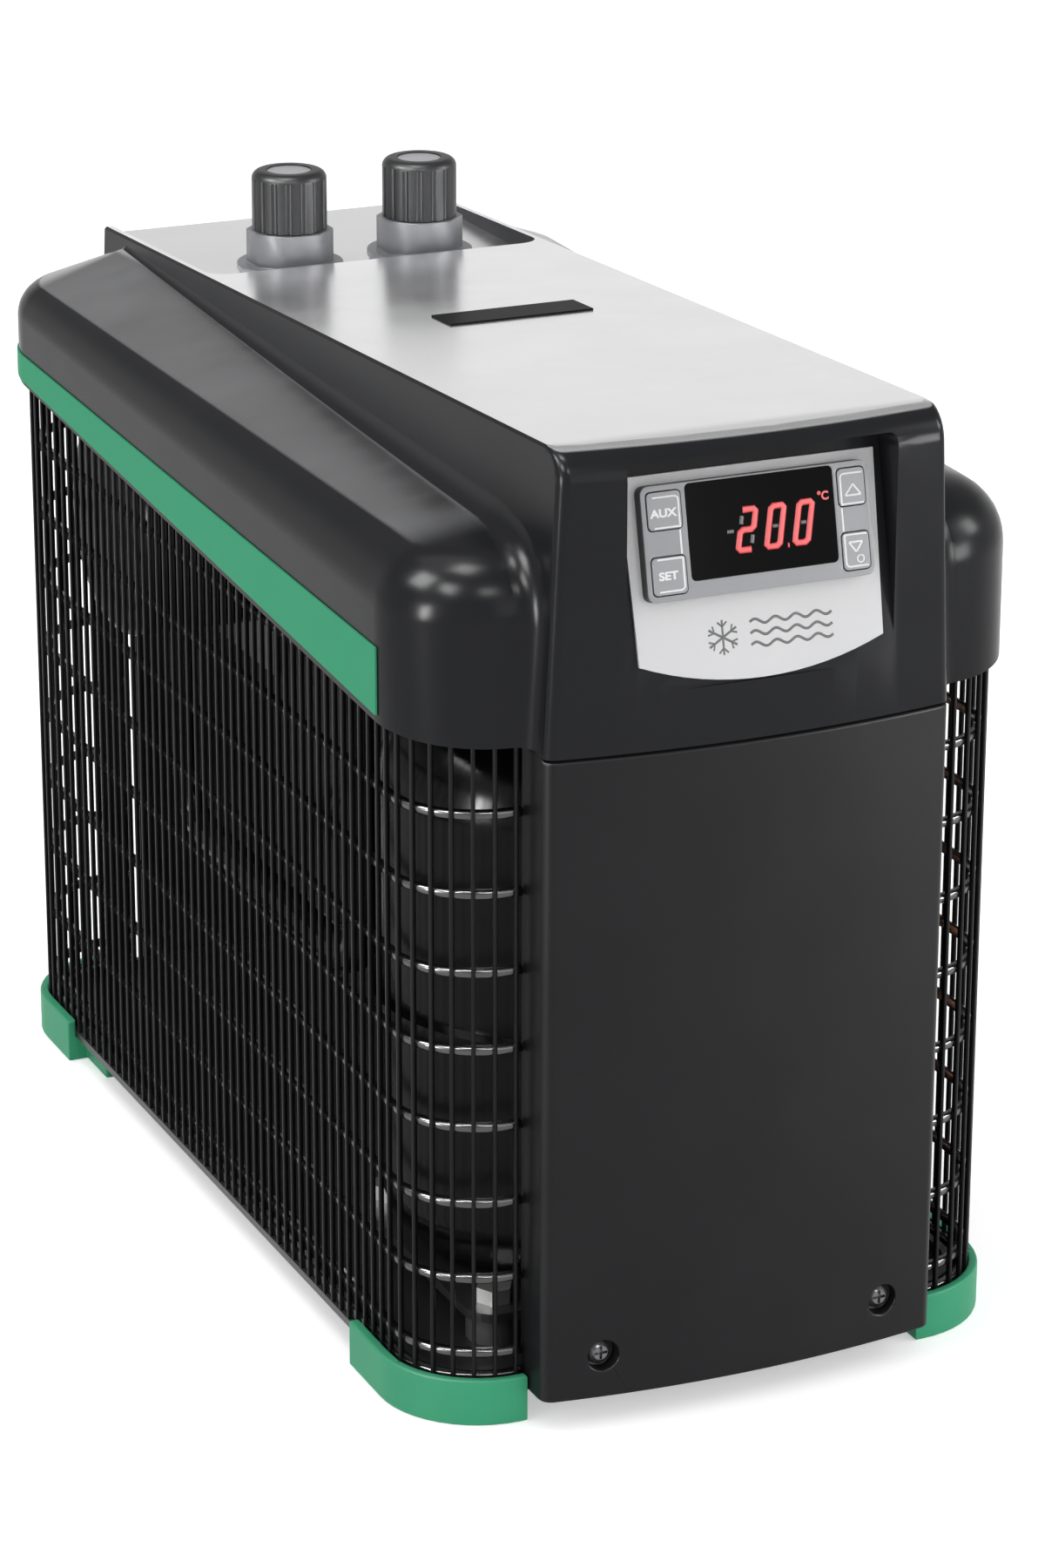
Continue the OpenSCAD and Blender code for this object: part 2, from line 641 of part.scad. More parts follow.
// Glossy hood: shoulders, spine, rear pocket and the recess for the label
module hood() {
    color("#313235") difference() {
        union() {
            difference() {
                shoulder_form(0, 8);
                translate([-body_w, hood_front, skirt_front_z])
                    rotate([atan((skirt_rear_z - skirt_front_z) / (hood_rear - hood_front)), 0, 0])
                        translate([0, -50, -100]) cube([2 * body_w, body_d + 100, 100]);
            }
            spine_form(0, seam_z, 11.25);
            for (s = [0, 1]) mirror([s, 0, 0]) spine_fillet();
        }
        difference() {
            union() {
                shoulder_form(wall, 3);
                spine_form(wall, seam_z - 10, 30);
            }
            on_label() rounded_block(label_w / 2 + 5, label_low - 4, label_top + 7, 5, -label_t - wall, 30);
            rounded_block(pocket_half + wall, fitting_y - pocket_ahead - wall, hood_rear + 30, 8,
                pocket_z - wall, pocket_z + 30);
            for (x = [-rib_out, 0, rib_out]) pocket_rib(x);
        }
        on_label() {
            rounded_block(label_w / 2 + 2.5, label_low - 0.5, label_top + 4.5, 3, -label_t, 30);
            translate([-cut_w / 2, bezel_y - cut_h / 2, -20]) cube([cut_w, cut_h, 40]);
        }
        rounded_block(pocket_half, fitting_y - pocket_ahead, hood_rear + 20, 8, pocket_z, pocket_z + 30);
        for (s = [-1, 1]) translate([s * fitting_x, fitting_y, pocket_z - 10])
            cylinder(r = stem_r + slack, h = 20);
    }
}

// Coloured wedge stripe along the hood's skirt, thin and flat on it
module stripe() {
    y0 = hood_front + 30.5;
    lift = 2.5;
    steps = 9;
    end = 180 - 90 * steps / corner_steps;
    turn = [hood_r - hood_half, hood_rear - hood_r];
    line = concat([[-hood_half, y0]], arc(turn, hood_r, 180, end, steps));
    outside = concat([[-hood_half - trim_t, y0]], arc(turn, hood_r + trim_t, 180, end, steps));
    low = skirt_z(y0) + lift;
    high = skirt_z(hood_rear) + lift - 1;
    color("#3da077") intersection() {
        prism(concat(line, backwards(outside)), low - 5, high + stripe_h_rear + 5);
        rotate([90, 0, -90]) translate([0, 0, hood_half / 2]) linear_extrude(hood_half)
            polygon([[-y0, low], [-hood_rear, high], [-hood_rear, high + stripe_h_rear],
                [-y0, low + stripe_h_front]]);
    }
}

module stripe_left() {
    stripe();
}

module stripe_right() {
    right_twin() stripe();
}

// Bare black badge on the deck, with skewed ends
module badge_plate() {
    y = cage_front + 167;
    color("#0e0e10") translate([3, y, deck_z(y) + 0.05]) rotate([-deck_slope, 0, 0])
        linear_extrude(trim_t) polygon([[-badge_w / 2 - 2, -badge_d / 2], [badge_w / 2 - 2, -badge_d / 2],
            [badge_w / 2 + 2, badge_d / 2], [-badge_w / 2 + 2, badge_d / 2]]);
}

// Silver label plate with an arched lower edge, cut out for the controller
module label_plate() {
    sag = label_corner - label_low;
    arch_r = (pow(label_w / 2 - 1.5, 2) + sag * sag) / (2 * sag);
    half_angle = asin((label_w / 2 - 1.5) / arch_r);
    color("#cfcfd0") on_label() translate([0, 0, -label_t]) difference() {
        linear_extrude(label_t) polygon(concat([[label_w / 2, label_top], [-label_w / 2, label_top]],
            arc([0, label_low + arch_r], arch_r, -90 - half_angle, -90 + half_angle, 16)));
        translate([-cut_w / 2, bezel_y - cut_h / 2, -1]) cube([cut_w, cut_h, label_t + 2]);
    }
}

// A block with rounded upright corners, centred on x and y
module pad(w, h, r, t) {
    linear_extrude(t) polygon(round_box(w / 2, -h / 2, h / 2, r, 4));
}

// Places of the four keys on the bezel: x, y, width, height
key_in = 2.6;
key_left_w = bezel_w / 2 + window_x - window_w / 2 - 3.5;
key_right_w = bezel_w / 2 - window_x - window_w / 2 - 3;
key_h = 11;
key_aux_at = [-bezel_w / 2 + 1.8 + key_left_w / 2, bezel_y + bezel_h / 2 - 2 - key_h / 2, key_left_w];
key_set_at = [key_aux_at[0], bezel_y - bezel_h / 2 + 2 + key_h / 2, key_left_w];
key_up_at = [bezel_w / 2 - 1.5 - key_right_w / 2, key_aux_at[1], key_right_w];
key_down_at = [key_up_at[0], key_set_at[1], key_right_w];

// Grey bezel with a well for each key and a seat for the window
module controller_bezel() {
    color("#76777b") on_label() difference() {
        translate([0, bezel_y, 0]) pad(bezel_w, bezel_h, 2.5, bezel_t);
        translate([window_x, window_y, bezel_t - 1]) pad(window_w, window_h, 1.5, 2);
        for (k = [key_aux_at, key_set_at, key_up_at, key_down_at])
            translate([k[0], k[1], bezel_t - key_in - key_travel - 0.1])
                pad(k[2] + 2 * key_gap, key_h + 2 * key_gap, 1.5, 5);
    }
}

module controller_body() {
    color("#1c1c1e") on_label() translate([-cut_w / 2 + slack, bezel_y - cut_h / 2 + slack, -controller_d])
        cube([cut_w - 2 * slack, cut_h - 2 * slack, controller_d]);
}

module display_window() {
    color("#0c0c0d") on_label() translate([window_x, window_y, bezel_t - 1])
        pad(window_w - 0.2, window_h - 0.2, 1.4, 1.2);
}

module key(k) {
    color("#7c7d81") on_label() translate([k[0], k[1], bezel_t - key_in])
        pad(k[2], key_h, 1.3, key_in + key_proud);
}

module key_aux() {
    key(key_aux_at);
}

module key_set() {
    key(key_set_at);
}

module key_up() {
    key(key_up_at);
}

module key_down() {
    key(key_down_at);
}

// Rubber ring between flange and pocket floor
module gasket() {
    color("#111112") translate([fitting_x, fitting_y, pocket_z]) difference() {
        cylinder(r = flange_r - 1.2, h = gasket_t);
        translate([0, 0, -1]) cylinder(r = stem_r + slack, h = gasket_t + 2);
    }
}

// Bulkhead fitting: flange, octagon and a hollow stem through the hood
module fitting() {
    stem_low = evaporator_z + evaporator_r + 24;
    color("#8e8f92") translate([fitting_x, fitting_y, 0]) difference() {
        union() {
            translate([0, 0, flange_z]) cylinder(r = flange_r, h = flange_t);
            translate([0, 0, octagon_z - 0.5]) rotate(22.5)
                cylinder(r = octagon_r, h = octagon_h + 0.5, $fn = 8);
            translate([0, 0, stem_low]) cylinder(r = stem_r, h = ring_top - 4 - stem_low);
        }
        translate([0, 0, stem_low - 1]) cylinder(r = water_r, h = ring_top);
    }
}

// Fluted union nut over the fitting's neck, with an opening in its top
module ring_nut() {
    edge = 3;
    color("#4a4b4e") translate([fitting_x, fitting_y, ring_z]) difference() {
        rotate_extrude() polygon(concat([[stem_r + nut_gap, 0], [ring_r, 0]],
            arc([ring_r - edge, ring_h - edge], edge, 0, 90, 6),
            [[plug_r + 0.1, ring_h], [plug_r + 0.1, ring_h - 3], [stem_r + nut_gap, ring_h - 3]]));
        for (i = [0 : ring_grooves - 1]) rotate(360 * i / ring_grooves)
            translate([ring_r + 0.9, 0, -1]) cylinder(r = 1.5, h = ring_h - 1.5);
    }
}

// Light plug that closes the ring nut's opening
module plug() {
    color("#b4b5b6") translate([fitting_x, fitting_y, ring_top - 3.5]) cylinder(r = plug_r, h = 3);
}

module inlet_gasket() {
    right_twin() gasket();
}

module outlet_gasket() {
    gasket();
}

module inlet_fitting() {
    right_twin() fitting();
}

module outlet_fitting() {
    fitting();
}

module inlet_ring_nut() {
    right_twin() ring_nut();
}

module outlet_ring_nut() {
    ring_nut();
}

module inlet_plug() {
    right_twin() plug();
}

module outlet_plug() {
    plug();
}

// Hexagon nuts that clamp the fittings to the hood from inside
module fitting_locknuts() {
    color("#8e8f92") for (s = [-1, 1]) translate([s * fitting_x, fitting_y, pocket_z - wall - 7])
        difference() {
            cylinder(r = 13.5, h = 7, $fn = 6);
            translate([0, 0, -1]) cylinder(r = stem_r, h = 9);
        }
}

// Rubber sleeve from the evaporator's port to the fitting's stem
module hose() {
    color("#141415") translate([fitting_x, fitting_y, evaporator_z + evaporator_r + 4]) difference() {
        cylinder(r = stem_r + 2.5, h = 32);
        translate([0, 0, -1]) cylinder(r = stem_r, h = 34);
    }
}

module inlet_hose() {
    right_twin() hose();
}

module outlet_hose() {
    hose();
}

// Foam-covered evaporator barrel with two water ports and two refrigerant stubs
module evaporator() {
    color("#161617") union() {
        translate([0, evaporator_y, evaporator_z]) rotate([0, 90, 0]) rotate_extrude() polygon(concat(
            [[0, -evaporator_l / 2]], arc([evaporator_r - 8, 8 - evaporator_l / 2], 8, -90, 0, 6),
            arc([evaporator_r - 8, evaporator_l / 2 - 8], 8, 0, 90, 6), [[0, evaporator_l / 2]]));
        for (s = [-1, 1]) translate([s * fitting_x, fitting_y, evaporator_z + 10])
            cylinder(r = stem_r, h = evaporator_r + 12);
        translate([-60, evaporator_y, evaporator_z - evaporator_r - 4]) cylinder(r = suction_r, h = 20);
        translate([60, evaporator_y - evaporator_r + 10, evaporator_z]) rotate([90, 0, 0])
            cylinder(r = 3, h = 18);
    }
}

// Saddle bracket that carries the barrel from the rear panel
module evaporator_cradle() {
    face_y = cage_rear - wall;
    color("#2f3033") difference() {
        union() {
            translate([-saddle_x - 3, face_y - 2, 148]) cube([2 * saddle_x + 6, 2, 52]);
            for (x = [-saddle_x - 3, saddle_x]) translate([x, evaporator_y - 22, 148])
                cube([3, face_y - evaporator_y + 21, 40]);
        }
        translate([-60, evaporator_y, evaporator_z]) rotate([0, 90, 0])
            cylinder(r = evaporator_r + 0.2, h = 120);
    }
}

// Hermetic compressor: deep-drawn shell with a weld flange and two pipe stubs
module compressor_shell() {
    r = compressor_r;
    dome = 34;
    color("#101011") translate([compressor_x, compressor_y, shell_z]) union() {
        rotate_extrude() polygon(concat([[0, 0], [r - 22, 0]], arc([r - 22, 22], 22, -90, 0, 8),
            [[r, 82], [r + 3.5, 83], [r + 3.5, 87], [r, 88]],
            arc([r - dome, compressor_h - dome], dome, 0, 90, 12), [[0, compressor_h]]));
        translate([25, 12, compressor_h - 30]) cylinder(r = pipe_r, h = 34);
        translate([-25, 22, compressor_h - 30]) cylinder(r = suction_r, h = 34);
    }
}

module compressor_plate() {
    color("#18181a") translate([compressor_x, compressor_y, plate_z]) difference() {
        linear_extrude(3) polygon(round_box(bolt_dx + 11, -bolt_dy - 11, bolt_dy + 11, 10, 6));
        for (x = [-bolt_dx, bolt_dx]) for (y = [-bolt_dy, bolt_dy])
            translate([x, y, -1]) cylinder(r = 3.4, h = 5);
    }
}

module compressor_grommets() {
    color("#0f0f10") translate([compressor_x, compressor_y, floor_z])
        for (x = [-bolt_dx, bolt_dx]) for (y = [-bolt_dy, bolt_dy]) translate([x, y, 0]) difference() {
            cylinder(r = 9, h = grommet_h);
            translate([0, 0, -1]) cylinder(r = 3.2, h = grommet_h + 2);
        }
}

module compressor_bolts() {
    color("#9a9b9d") translate([compressor_x, compressor_y, 0])
        for (x = [-bolt_dx, bolt_dx]) for (y = [-bolt_dy, bolt_dy]) translate([x, y, 0]) {
            translate([0, 0, plate_z + 3]) cylinder(r = 6, h = 5, $fn = 6);
            translate([0, 0, floor_z]) cylinder(r = 3, h = grommet_h + 8);
        }
}

// Cover over the compressor's terminals
module terminal_cover() {
    color("#1d1d1f") translate([compressor_x + compressor_r + slack, compressor_y - 18, shell_z + 92])
        difference() {
            cube([20, 44, 46]);
            translate([-1, 2, 2]) cube([19, 40, 42]);
        }
}

// Stack of fins with a hole for each tube run
module condenser_fins() {
    count = floor((coil_l - 2) / fin_pitch);
    color("#a9abad") for (i = [0 : count]) translate([coil_x, coil_y + i * fin_pitch + 0.6, coil_z])
        rotate([90, 0, 0]) linear_extrude(i == 0 || i == count ? 1.2 : 0.5) difference() {
            square([coil_t, coil_h]);
            for (k = [0 : 5]) for (c = [0, 1])
                translate([coil_t * (1 + 2 * c) / 4, coil_h * (k + 0.5) / 6]) circle(r = coil_tube_r);
        }
}

// Two rows of copper tube joined by return bends
module condenser_tubes() {
    y0 = coil_y - 5;
    run = coil_l + 10;
    row = coil_h / 6;
    color("#b87548") for (c = [0, 1]) for (k = [0 : 5])
        translate([coil_x + coil_t * (1 + 2 * c) / 4, y0, coil_z + row * (k + 0.5)]) {
            rotate([-90, 0, 0]) cylinder(r = coil_tube_r - 0.05, h = run);
            if (k % 2 == 0) translate([0, run - 1, row / 2]) rotate([0, -90, 0])
                rotate_extrude(angle = 180) translate([row / 2, 0]) circle(r = coil_tube_r + 0.5);
        }
}

// Shroud plate with a round duct for the fan
module fan_shroud() {
    duct_r = fan_r + 3;
    color("#1a1a1c") difference() {
        union() {
            translate([coil_x - 1.8, coil_y, coil_z]) cube([1.5, coil_l, coil_h]);
            translate([fan_x + 4, fan_y, fan_z]) rotate([0, 90, 0])
                cylinder(r = duct_r + 1.5, h = coil_x - fan_x - 5);
        }
        translate([fan_x, fan_y, fan_z]) rotate([0, 90, 0]) cylinder(r = duct_r, h = 40);
    }
}

module fan_motor() {
    color("#2b2c2e") translate([motor_x, fan_y, fan_z]) rotate([0, 90, 0]) difference() {
        union() {
            cylinder(r = motor_r, h = motor_l);
            cylinder(r = 10, h = motor_l + 4);
        }
        translate([0, 0, 10]) cylinder(r = shaft_r + shaft_gap, h = motor_l);
    }
}

// Bent sheet stand under the fan motor
module fan_pedestal() {
    color("#2f3033") difference() {
        union() {
            translate([motor_x + 8, fan_y - 16, floor_z]) cube([2, 32, fan_z - floor_z - 10]);
            translate([motor_x + 8, fan_y - 16, floor_z]) cube([18, 32, 2]);
        }
        translate([motor_x, fan_y, fan_z]) rotate([0, 90, 0]) cylinder(r = motor_r + 0.1, h = motor_l);
    }
}

// Moulded fan: hub and pitched blades
module fan_blades() {
    hub_r = 17;
    color("#26272a") translate([fan_x, fan_y, fan_z]) rotate([0, 90, 0]) difference() {
        union() {
            cylinder(r = hub_r, h = fan_depth);
            for (i = [0 : blade_count - 1]) rotate(360 * i / blade_count) intersection() {
                difference() {
                    cylinder(r = fan_r, h = fan_depth);
                    translate([0, 0, -1]) cylinder(r = hub_r - 3, h = fan_depth + 2);
                }
                translate([0, 0, fan_depth / 2]) rotate([28, 0, 0]) translate([10, -24, -0.8])
                    cube([fan_r, 48, 1.6]);
            }
        }
        translate([0, 0, -1]) cylinder(r = shaft_r, h = fan_depth + 2);
    }
}

module fan_shaft() {
    color("#b9babc") translate([motor_x + 12, fan_y, fan_z]) rotate([0, 90, 0])
        cylinder(r = shaft_r, h = fan_x + fan_depth - motor_x - 12);
}

// Copper pipe from the compressor's top to the coil's upper tube
module discharge_pipe() {
    a = [compressor_x + 25, compressor_y + 12, shell_z + compressor_h + 4];
    b = [coil_x + coil_t / 4, coil_y - 5, coil_z + coil_h * 11 / 12];
    drop_y = b[1] - 12;
    color("#b87548") sweep_tube(smooth([a, a + [0, 0, 4], a + [0, 0, 8], a + [6, 4, 18], a + [18, 12, 22],
        [b[0] - 8, drop_y - 2, a[2] + 18], [b[0], drop_y, a[2] + 4], [b[0], drop_y, b[2] + 16],
        [b[0], drop_y + 2, b[2] + 5], b - [0, 6, 0], b - [0, 3, 0], b], 3), pipe_r, 8);
}

// Copper pipe from the coil's lower tube to the drier
module liquid_pipe() {
    a = [coil_x + coil_t / 4, coil_y - 5, coil_z + coil_h / 12];
    b = [drier_x, drier_y, drier_z];
    color("#b87548") sweep_tube(smooth([a, a - [0, 6, 0], a - [0, 12, 0], [a[0] + 3, a[1] - 30, a[2]],
        [b[0] - 3, b[1] + 8, a[2] + 2], [b[0], b[1], a[2] + 12], b - [0, 0, 6], b], 3), pipe_r, 8);
}

// Spun copper drier with tapered ends
module filter_drier() {
    color("#b06a42") translate([drier_x, drier_y, drier_z]) rotate_extrude() polygon([[0, 0], [pipe_r, 0],
        [drier_r, 10], [drier_r, drier_l - 10], [2, drier_l], [0, drier_l]]);
}

// Fine capillary: coiled over the drier, then along the right side to the evaporator
module capillary_pipe() {
    top = drier_z + drier_l;
    turns = 3;
    coil = [for (i = [0 : 12 * turns])
        [drier_x + 12 * sin(30 * i), drier_y + 12 - 12 * cos(30 * i), top + 14 + i * 0.5]];
    color("#b87548") sweep_tube(concat([[drier_x, drier_y, top], [drier_x, drier_y, top + 8]], coil,
        smooth([[drier_x + 6, drier_y, top + 34], [drier_x + 14, drier_y + 20, top + 36],
            [drier_x + 16, coil_y, top + 38], [drier_x + 12, fan_y, evaporator_z],
            [60, evaporator_y - evaporator_r - 30, evaporator_z],
            [60, evaporator_y - evaporator_r - 8, evaporator_z]], 3)), 1.2, 6);
}

// Insulated suction pipe from under the evaporator, forward and up to the compressor
module suction_pipe() {
    a = [-60, evaporator_y, evaporator_z - evaporator_r - 4];
    b = [compressor_x - 25, compressor_y + 22, shell_z + compressor_h + 4];
    c = compressor_y;
    color("#131314") sweep_tube(smooth([a, a - [0, 0, 20], a - [0, 0, 40], [-60, a[1] - 6, 102],
        [-60, a[1] - 24, 93], [-60, fan_y, 93], [-60, c + 86, 93], [-60, c + 70, 102], [-60, c + 66, 130],
        [-60, c + 66, b[2] - 20], [-58, c + 60, b[2] + 6], [b[0] - 6, b[1] + 20, b[2] + 16],
        b + [0, 3, 14], b + [0, 0, 8], b + [0, 0, 4], b], 3), suction_r, 10);
}

// Cable gland in the rear panel
module cable_gland() {
    color("#19191a") translate([gland_x, cage_rear, gland_z]) rotate([90, 0, 0]) difference() {
        union() {
            translate([0, 0, -gland_out]) cylinder(r1 = 7.5, r2 = 9.5, h = gland_out - 4.5);
            translate([0, 0, -5]) cylinder(r = 11, h = 5, $fn = 6);
            cylinder(r = 8, h = 14);
            translate([0, 0, wall]) cylinder(r = 12, h = 4, $fn = 6);
        }
        translate([0, 0, -gland_out - 1]) cylinder(r = 3.75, h = gland_out + 20);
    }
}

base_tray();
foot_front_left();
foot_front_right();
foot_rear_left();
foot_rear_right();
grille_left();
grille_right();
front_panel();
front_screws();
rear_panel();
rear_screws();
uprights_front();
uprights_rear();
hood();
stripe_left();
stripe_right();
badge_plate();
label_plate();
controller_bezel();
controller_body();
display_window();
key_aux();
key_set();
key_up();
key_down();
inlet_gasket();
outlet_gasket();
inlet_fitting();
outlet_fitting();
inlet_ring_nut();
outlet_ring_nut();
inlet_plug();
outlet_plug();
fitting_locknuts();
inlet_hose();
outlet_hose();
evaporator();
evaporator_cradle();
compressor_shell();
compressor_plate();
compressor_grommets();
compressor_bolts();
terminal_cover();
condenser_fins();
condenser_tubes();
fan_shroud();
fan_motor();
fan_pedestal();
fan_blades();
fan_shaft();
discharge_pipe();
liquid_pipe();
filter_drier();
capillary_pipe();
suction_pipe();
cable_gland();
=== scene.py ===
# %% [markdown]
# A water chiller, dressed for a studio picture
#
# The chiller is a steel and plastic box about 400 mm long. It has see-through grilles on both sides, a
# glossy dark hood with a mirror-bright deck, green corner feet and a small controller in front. The CAD
# solids already have the right places and sizes, so this lesson loads them as a fixed frame. It gives
# each one its finish and rebuilds the pieces whose curves the camera sees closely.

# %% Load the frame and keep its box
import json
import math

import bmesh
import bpy
from mathutils import Matrix, Vector

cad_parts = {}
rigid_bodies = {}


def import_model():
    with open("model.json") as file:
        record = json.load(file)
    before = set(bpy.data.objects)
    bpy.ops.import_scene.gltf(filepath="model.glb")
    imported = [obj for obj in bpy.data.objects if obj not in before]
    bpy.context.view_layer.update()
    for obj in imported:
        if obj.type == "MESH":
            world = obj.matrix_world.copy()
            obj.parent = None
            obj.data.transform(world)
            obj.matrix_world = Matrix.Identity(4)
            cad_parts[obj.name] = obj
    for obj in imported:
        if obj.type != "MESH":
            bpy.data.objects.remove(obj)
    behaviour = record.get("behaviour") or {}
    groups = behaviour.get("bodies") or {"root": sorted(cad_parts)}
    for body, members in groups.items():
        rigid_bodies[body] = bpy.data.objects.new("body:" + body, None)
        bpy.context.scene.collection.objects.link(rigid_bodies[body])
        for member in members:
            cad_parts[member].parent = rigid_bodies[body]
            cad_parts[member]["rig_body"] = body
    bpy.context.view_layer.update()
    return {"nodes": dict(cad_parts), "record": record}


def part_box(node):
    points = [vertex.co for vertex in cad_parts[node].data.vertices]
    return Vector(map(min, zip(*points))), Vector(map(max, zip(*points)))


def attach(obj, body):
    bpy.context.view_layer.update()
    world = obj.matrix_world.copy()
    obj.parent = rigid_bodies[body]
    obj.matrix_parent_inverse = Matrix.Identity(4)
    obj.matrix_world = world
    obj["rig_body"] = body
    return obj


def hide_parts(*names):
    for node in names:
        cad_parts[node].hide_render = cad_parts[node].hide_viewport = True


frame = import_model()
MM = 0.001

# %% [markdown]
# The camera
#
# The picture was taken from the front left, a little above the deck, with a long lens. The distance and
# the focal length were fitted to the corners of the cage and the deck, so straight edges converge here
# as they do there.

# %% Place the camera
lens = bpy.data.cameras.new("studio_camera")
lens.sensor_width = 36
lens.lens = 114.23
lens.clip_end = 20
camera = bpy.data.objects.new("studio_camera", lens)
bpy.context.scene.collection.objects.link(camera)
CAMERA_TURN = math.radians(-24.25)
CAMERA_TIP = math.radians(70.1)
CAMERA_ROLL = math.radians(0.11)
camera.matrix_world = (
    Matrix.Translation((-0.63206, -1.43427, 0.70384))
    @ Matrix.Rotation(CAMERA_TURN, 4, "Z")
    @ Matrix.Rotation(CAMERA_TIP, 4, "X")
    @ Matrix.Rotation(CAMERA_ROLL, 4, "Z")
)
bpy.context.scene.camera = camera
bpy.context.scene.view_settings.view_transform = "Standard"
print("camera at", [round(v, 3) for v in camera.location])

# %% [markdown]
# White room and soft lamps
#
# The object stands in a seamless white room. The world is white to the camera, and to mirrors near the
# horizon. Above, mirrors see a dimmer ceiling, so the gloss of dark plastics stays dark. Four fill
# lamps light the colours, and seven give only glints. Most of these hang where a line of sight goes
# after it is reflected on the hood. The floor is a wide white sheet. It looks whiter to the camera and
# in mirrors, and still takes the shadow round the feet.

# %% Light the world
HORIZON_HEIGHT = 0.14
CEILING_HEIGHT = 0.42
CEILING_LIGHT = 0.34
DIFFUSE_LIGHT = 0.62
world = bpy.data.worlds.new("white_room")
bpy.context.scene.world = world
world.use_nodes = True
room = world.node_tree
room_light = room.nodes["Background"]
room_light.inputs["Color"].default_value = (1, 1, 1, 1)
room_path = room.nodes.new("ShaderNodeLightPath")
room_way = room.nodes.new("ShaderNodeTexCoord")
room_height = room.nodes.new("ShaderNodeSeparateXYZ")
room.links.new(room_way.outputs["Generated"], room_height.inputs[0])
room_mirror = room.nodes.new("ShaderNodeMapRange")
room_mirror.interpolation_type = "SMOOTHSTEP"
room_mirror.inputs["From Min"].default_value = HORIZON_HEIGHT
room_mirror.inputs["From Max"].default_value = CEILING_HEIGHT
room_mirror.inputs["To Min"].default_value = 1.0
room_mirror.inputs["To Max"].default_value = CEILING_LIGHT
room.links.new(room_height.outputs["Z"], room_mirror.inputs["Value"])
room_glossy = room.nodes.new("ShaderNodeMix")
room_glossy.inputs[2].default_value = DIFFUSE_LIGHT
room.links.new(room_path.outputs["Is Glossy Ray"], room_glossy.inputs[0])
room.links.new(room_mirror.outputs["Result"], room_glossy.inputs[3])
room_seen = room.nodes.new("ShaderNodeMix")
room_seen.inputs[3].default_value = 1.0
room.links.new(room_path.outputs["Is Camera Ray"], room_seen.inputs[0])
room.links.new(room_glossy.outputs[0], room_seen.inputs[2])
room.links.new(room_seen.outputs[0], room_light.inputs["Strength"])
print("white room lit")


# %% Hang the softboxes
LAMP_AIM = Vector((0, 0, 0.2))


def softbox(name, place, size, watts, glints=False):
    """A flat lamp, turned to the middle of the object. One for glints lights no matt surface."""
    lamp = bpy.data.lights.new(name, "AREA")
    lamp.shape = "RECTANGLE"
    lamp.size, lamp.size_y = size
    lamp.energy = watts
    holder = bpy.data.objects.new(name, lamp)
    bpy.context.scene.collection.objects.link(holder)
    turn = (LAMP_AIM - Vector(place)).to_track_quat("-Z", "Y")
    holder.matrix_world = Matrix.Translation(place) @ turn.to_matrix().to_4x4()
    holder.visible_camera = False
    holder.visible_diffuse = not glints


softbox("fill_right", (1.6, -1.0, 1.3), (1.0, 1.0), 9)
softbox("fill_top", (-0.5, 0.3, 2.0), (1.2, 1.2), 14)
softbox("fill_left", (-1.6, -0.6, 0.9), (1.0, 1.0), 4)
softbox("fill_front", (0.3, -2.0, 0.8), (1.0, 1.0), 9)
softbox("glint_left", (-1.5, 0.15, 1.6), (0.7, 0.7), 90, glints=True)
softbox("glint_strip", (-1.75, -0.55, 0.25), (0.25, 0.6), 55, glints=True)
softbox("glint_low", (1.3, -1.4, 0.3), (0.6, 0.6), 40, glints=True)
softbox("glint_front", (-0.3, -1.75, 1.75), (0.55, 0.4), 24, glints=True)
softbox("glint_right", (1.7, -0.75, 1.1), (0.5, 0.6), 26, glints=True)
softbox("glint_top", (-0.35, -0.2, 2.1), (0.5, 0.5), 40, glints=True)
softbox("glint_corner", (-1.3, -0.85, 1.6), (0.5, 0.5), 50, glints=True)

# %% Lay the floor
FLOOR_GLOW = 0.42
floor_sheet = bmesh.new()
bmesh.ops.create_grid(floor_sheet, x_segments=1, y_segments=1, size=6)
floor_mesh = bpy.data.meshes.new("floor")
floor_sheet.to_mesh(floor_mesh)
floor_sheet.free()
floor = bpy.data.objects.new("floor", floor_mesh)
bpy.context.scene.collection.objects.link(floor)
floor_white = bpy.data.materials.new("floor_white")
floor_white.use_nodes = True
floor_shader = floor_white.node_tree.nodes["Principled BSDF"]
floor_shader.inputs["Base Color"].default_value = (0.9, 0.9, 0.9, 1)
floor_shader.inputs["Roughness"].default_value = 0.9
floor_shader.inputs["Specular IOR Level"].default_value = 0
floor_shader.inputs["Emission Color"].default_value = (1, 1, 1, 1)
floor_tree = floor_white.node_tree
floor_path = floor_tree.nodes.new("ShaderNodeLightPath")
floor_any = floor_tree.nodes.new("ShaderNodeMath")
floor_any.operation = "MAXIMUM"
floor_lift = floor_tree.nodes.new("ShaderNodeMath")
floor_lift.operation = "MULTIPLY"
floor_lift.inputs[1].default_value = FLOOR_GLOW
floor_tree.links.new(floor_path.outputs["Is Camera Ray"], floor_any.inputs[0])
floor_tree.links.new(floor_path.outputs["Is Glossy Ray"], floor_any.inputs[1])
floor_tree.links.new(floor_any.outputs[0], floor_lift.inputs[0])
floor_tree.links.new(floor_lift.outputs[0], floor_shader.inputs["Emission Strength"])
floor_mesh.materials.append(floor_white)
print("floor laid")

# %% [markdown]
# Finishes
#
# Every finish starts from the same recipe: a colour that drifts a little over the surface, a roughness
# that is not quite even, and a fine bump at the scale of the real grain. The numbers that make one
# plastic differ from another are given when it is mixed.


# %% Mix one finish
DRIFT_SIZE = 30 * MM


